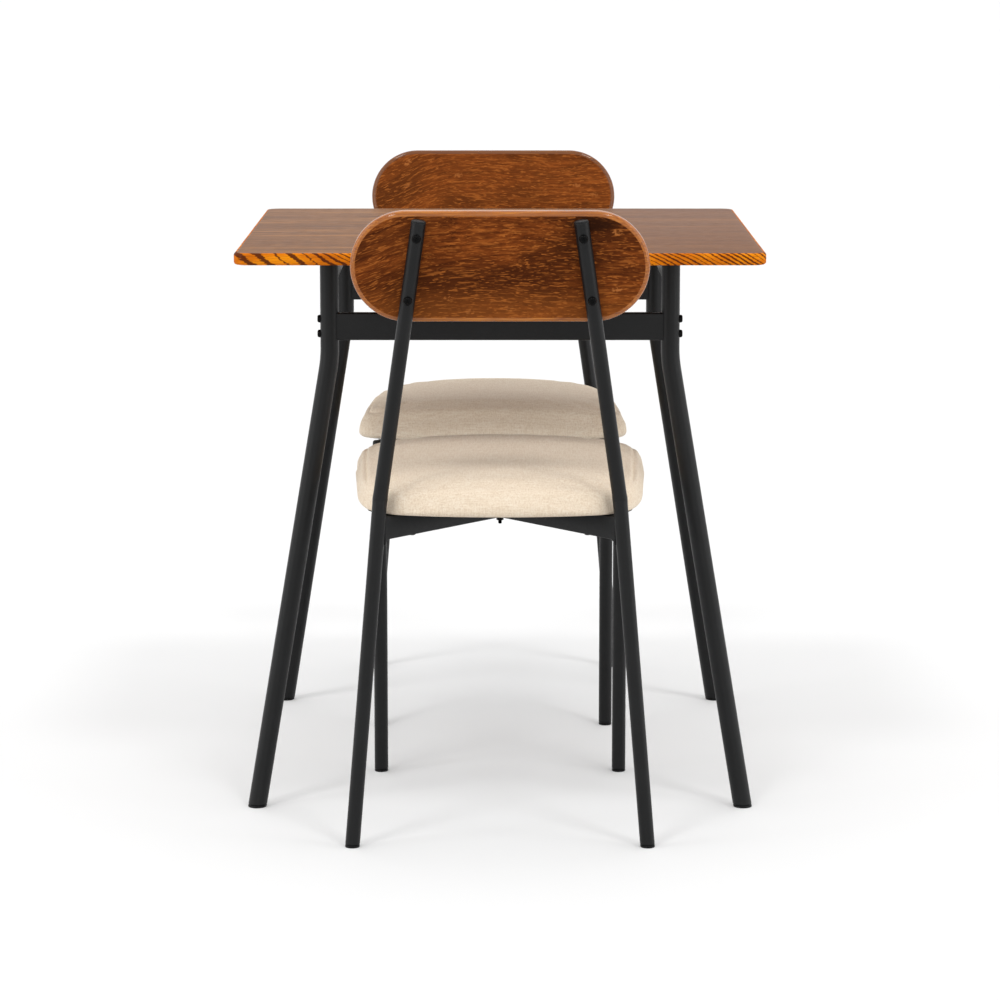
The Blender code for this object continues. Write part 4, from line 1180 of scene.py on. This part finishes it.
CAMERA_PLACE = (0.0, -4.9884, 1.2001)
CAMERA_DIP = radians(9.5419)
CAMERA_LENS = 127.5
WHITE = (1.0, 1.0, 1.0, 1.0)
FLOOR_REACH = 90.0
FLOOR_SEEN = 0.74
FLOOR_BOUNCE = 0.65
FLOOR_GLOW = 0.17
WORLD_FILL = 0.68
LAMPS = (
    ("left_front_lamp", -35, 54, 12, 0.15),
    ("right_front_lamp", 35, 54, 12, 0.15),
    ("left_side_lamp", -100, 20, 60, 0.12),
    ("right_side_lamp", 100, 20, 60, 0.12),
    ("low_fill", 0, 15, 50, 0.05),
    ("rear_lamp", 180, 50, 60, 0.18),
)
STRIP_X = 2.1
STRIP_Y = -1.25
STRIP_HEIGHT = 1.5
STRIP_WIDTH = 0.5
STRIP_LENGTH = 2.3
STRIP_POWER = 9.0


def add_lamp(name, kind, place, towards, **settings):
    """A lamp at a place, with the object on the other side of it from towards."""
    item = new_object(name, bpy.data.lights.new(name, kind))
    configure(item.data, settings)
    item.location = place
    item.rotation_euler = towards.to_track_quat("Z", "Y").to_euler()
    item.visible_camera = False


def soft_lamp(name, azimuth, elevation, size, level):
    """A far, wide lamp. The azimuth runs from the camera's side to the right. Level 1 shows white in full."""
    turn, rise = radians(azimuth), radians(elevation)
    towards = Vector((sin(turn) * cos(rise), -cos(turn) * cos(rise), sin(rise)))
    add_lamp(name, "SUN", towards * 4, towards, energy=level * pi, angle=radians(size))


def seen_level(tree, unseen, seen):
    """One level for camera, glossy and transmission rays, and another for the rest."""
    rays = add_node(tree, "LightPath", {}).outputs
    total = rays["Is Camera Ray"]
    for name in ("Is Glossy Ray", "Is Transmission Ray"):
        total = add_node(tree, "Math", {0: total, 1: rays[name]}, operation="MAXIMUM").outputs[0]
    return add_node(tree, "MapRange", {"Value": total, "To Min": unseen, "To Max": seen}).outputs[0]


def build_studio():
    slab = box_mesh((-FLOOR_REACH, -FLOOR_REACH, -0.02), (FLOOR_REACH, FLOOR_REACH, 0.0))
    floor = new_object("floor", slab)
    material = bpy.data.materials.new("studio_floor")
    material.use_nodes = True
    tree = material.node_tree
    shader = tree.nodes["Principled BSDF"]
    fill(tree, shader, {"Roughness": 1.0, "Specular IOR Level": 0.0, "Emission Color": WHITE})
    colour, glow = seen_level(tree, FLOOR_BOUNCE, FLOOR_SEEN), seen_level(tree, 0.0, FLOOR_GLOW)
    fill(tree, shader, {"Base Color": colour, "Emission Strength": glow})
    floor.data.materials.append(material)

    world = bpy.data.worlds.new("studio")
    bpy.context.scene.world = world
    world.use_nodes = True
    tree = world.node_tree
    strength = seen_level(tree, WORLD_FILL, 1.0)
    fill(tree, tree.nodes["Background"], {"Color": WHITE, "Strength": strength})
    for lamp in LAMPS:
        soft_lamp(*lamp)
    for name, side in (("left_strip", -1), ("right_strip", 1)):
        place = Vector((side * STRIP_X, STRIP_Y, STRIP_HEIGHT))
        size = {"shape": "RECTANGLE", "size": STRIP_WIDTH, "size_y": STRIP_LENGTH}
        add_lamp(name, "AREA", place, Vector((place.x, place.y, 0.0)), energy=STRIP_POWER, **size)

    camera = new_object("camera", bpy.data.cameras.new("camera"))
    camera.data.lens = CAMERA_LENS
    camera.data.sensor_width = 36.0
    camera.data.clip_end = 300.0
    camera.location = CAMERA_PLACE
    camera.rotation_euler = (pi / 2 - CAMERA_DIP, 0.0, 0.0)
    bpy.context.scene.camera = camera
    bpy.context.scene.view_settings.view_transform = "Standard"


build_studio()

bpy.context.view_layer.update()
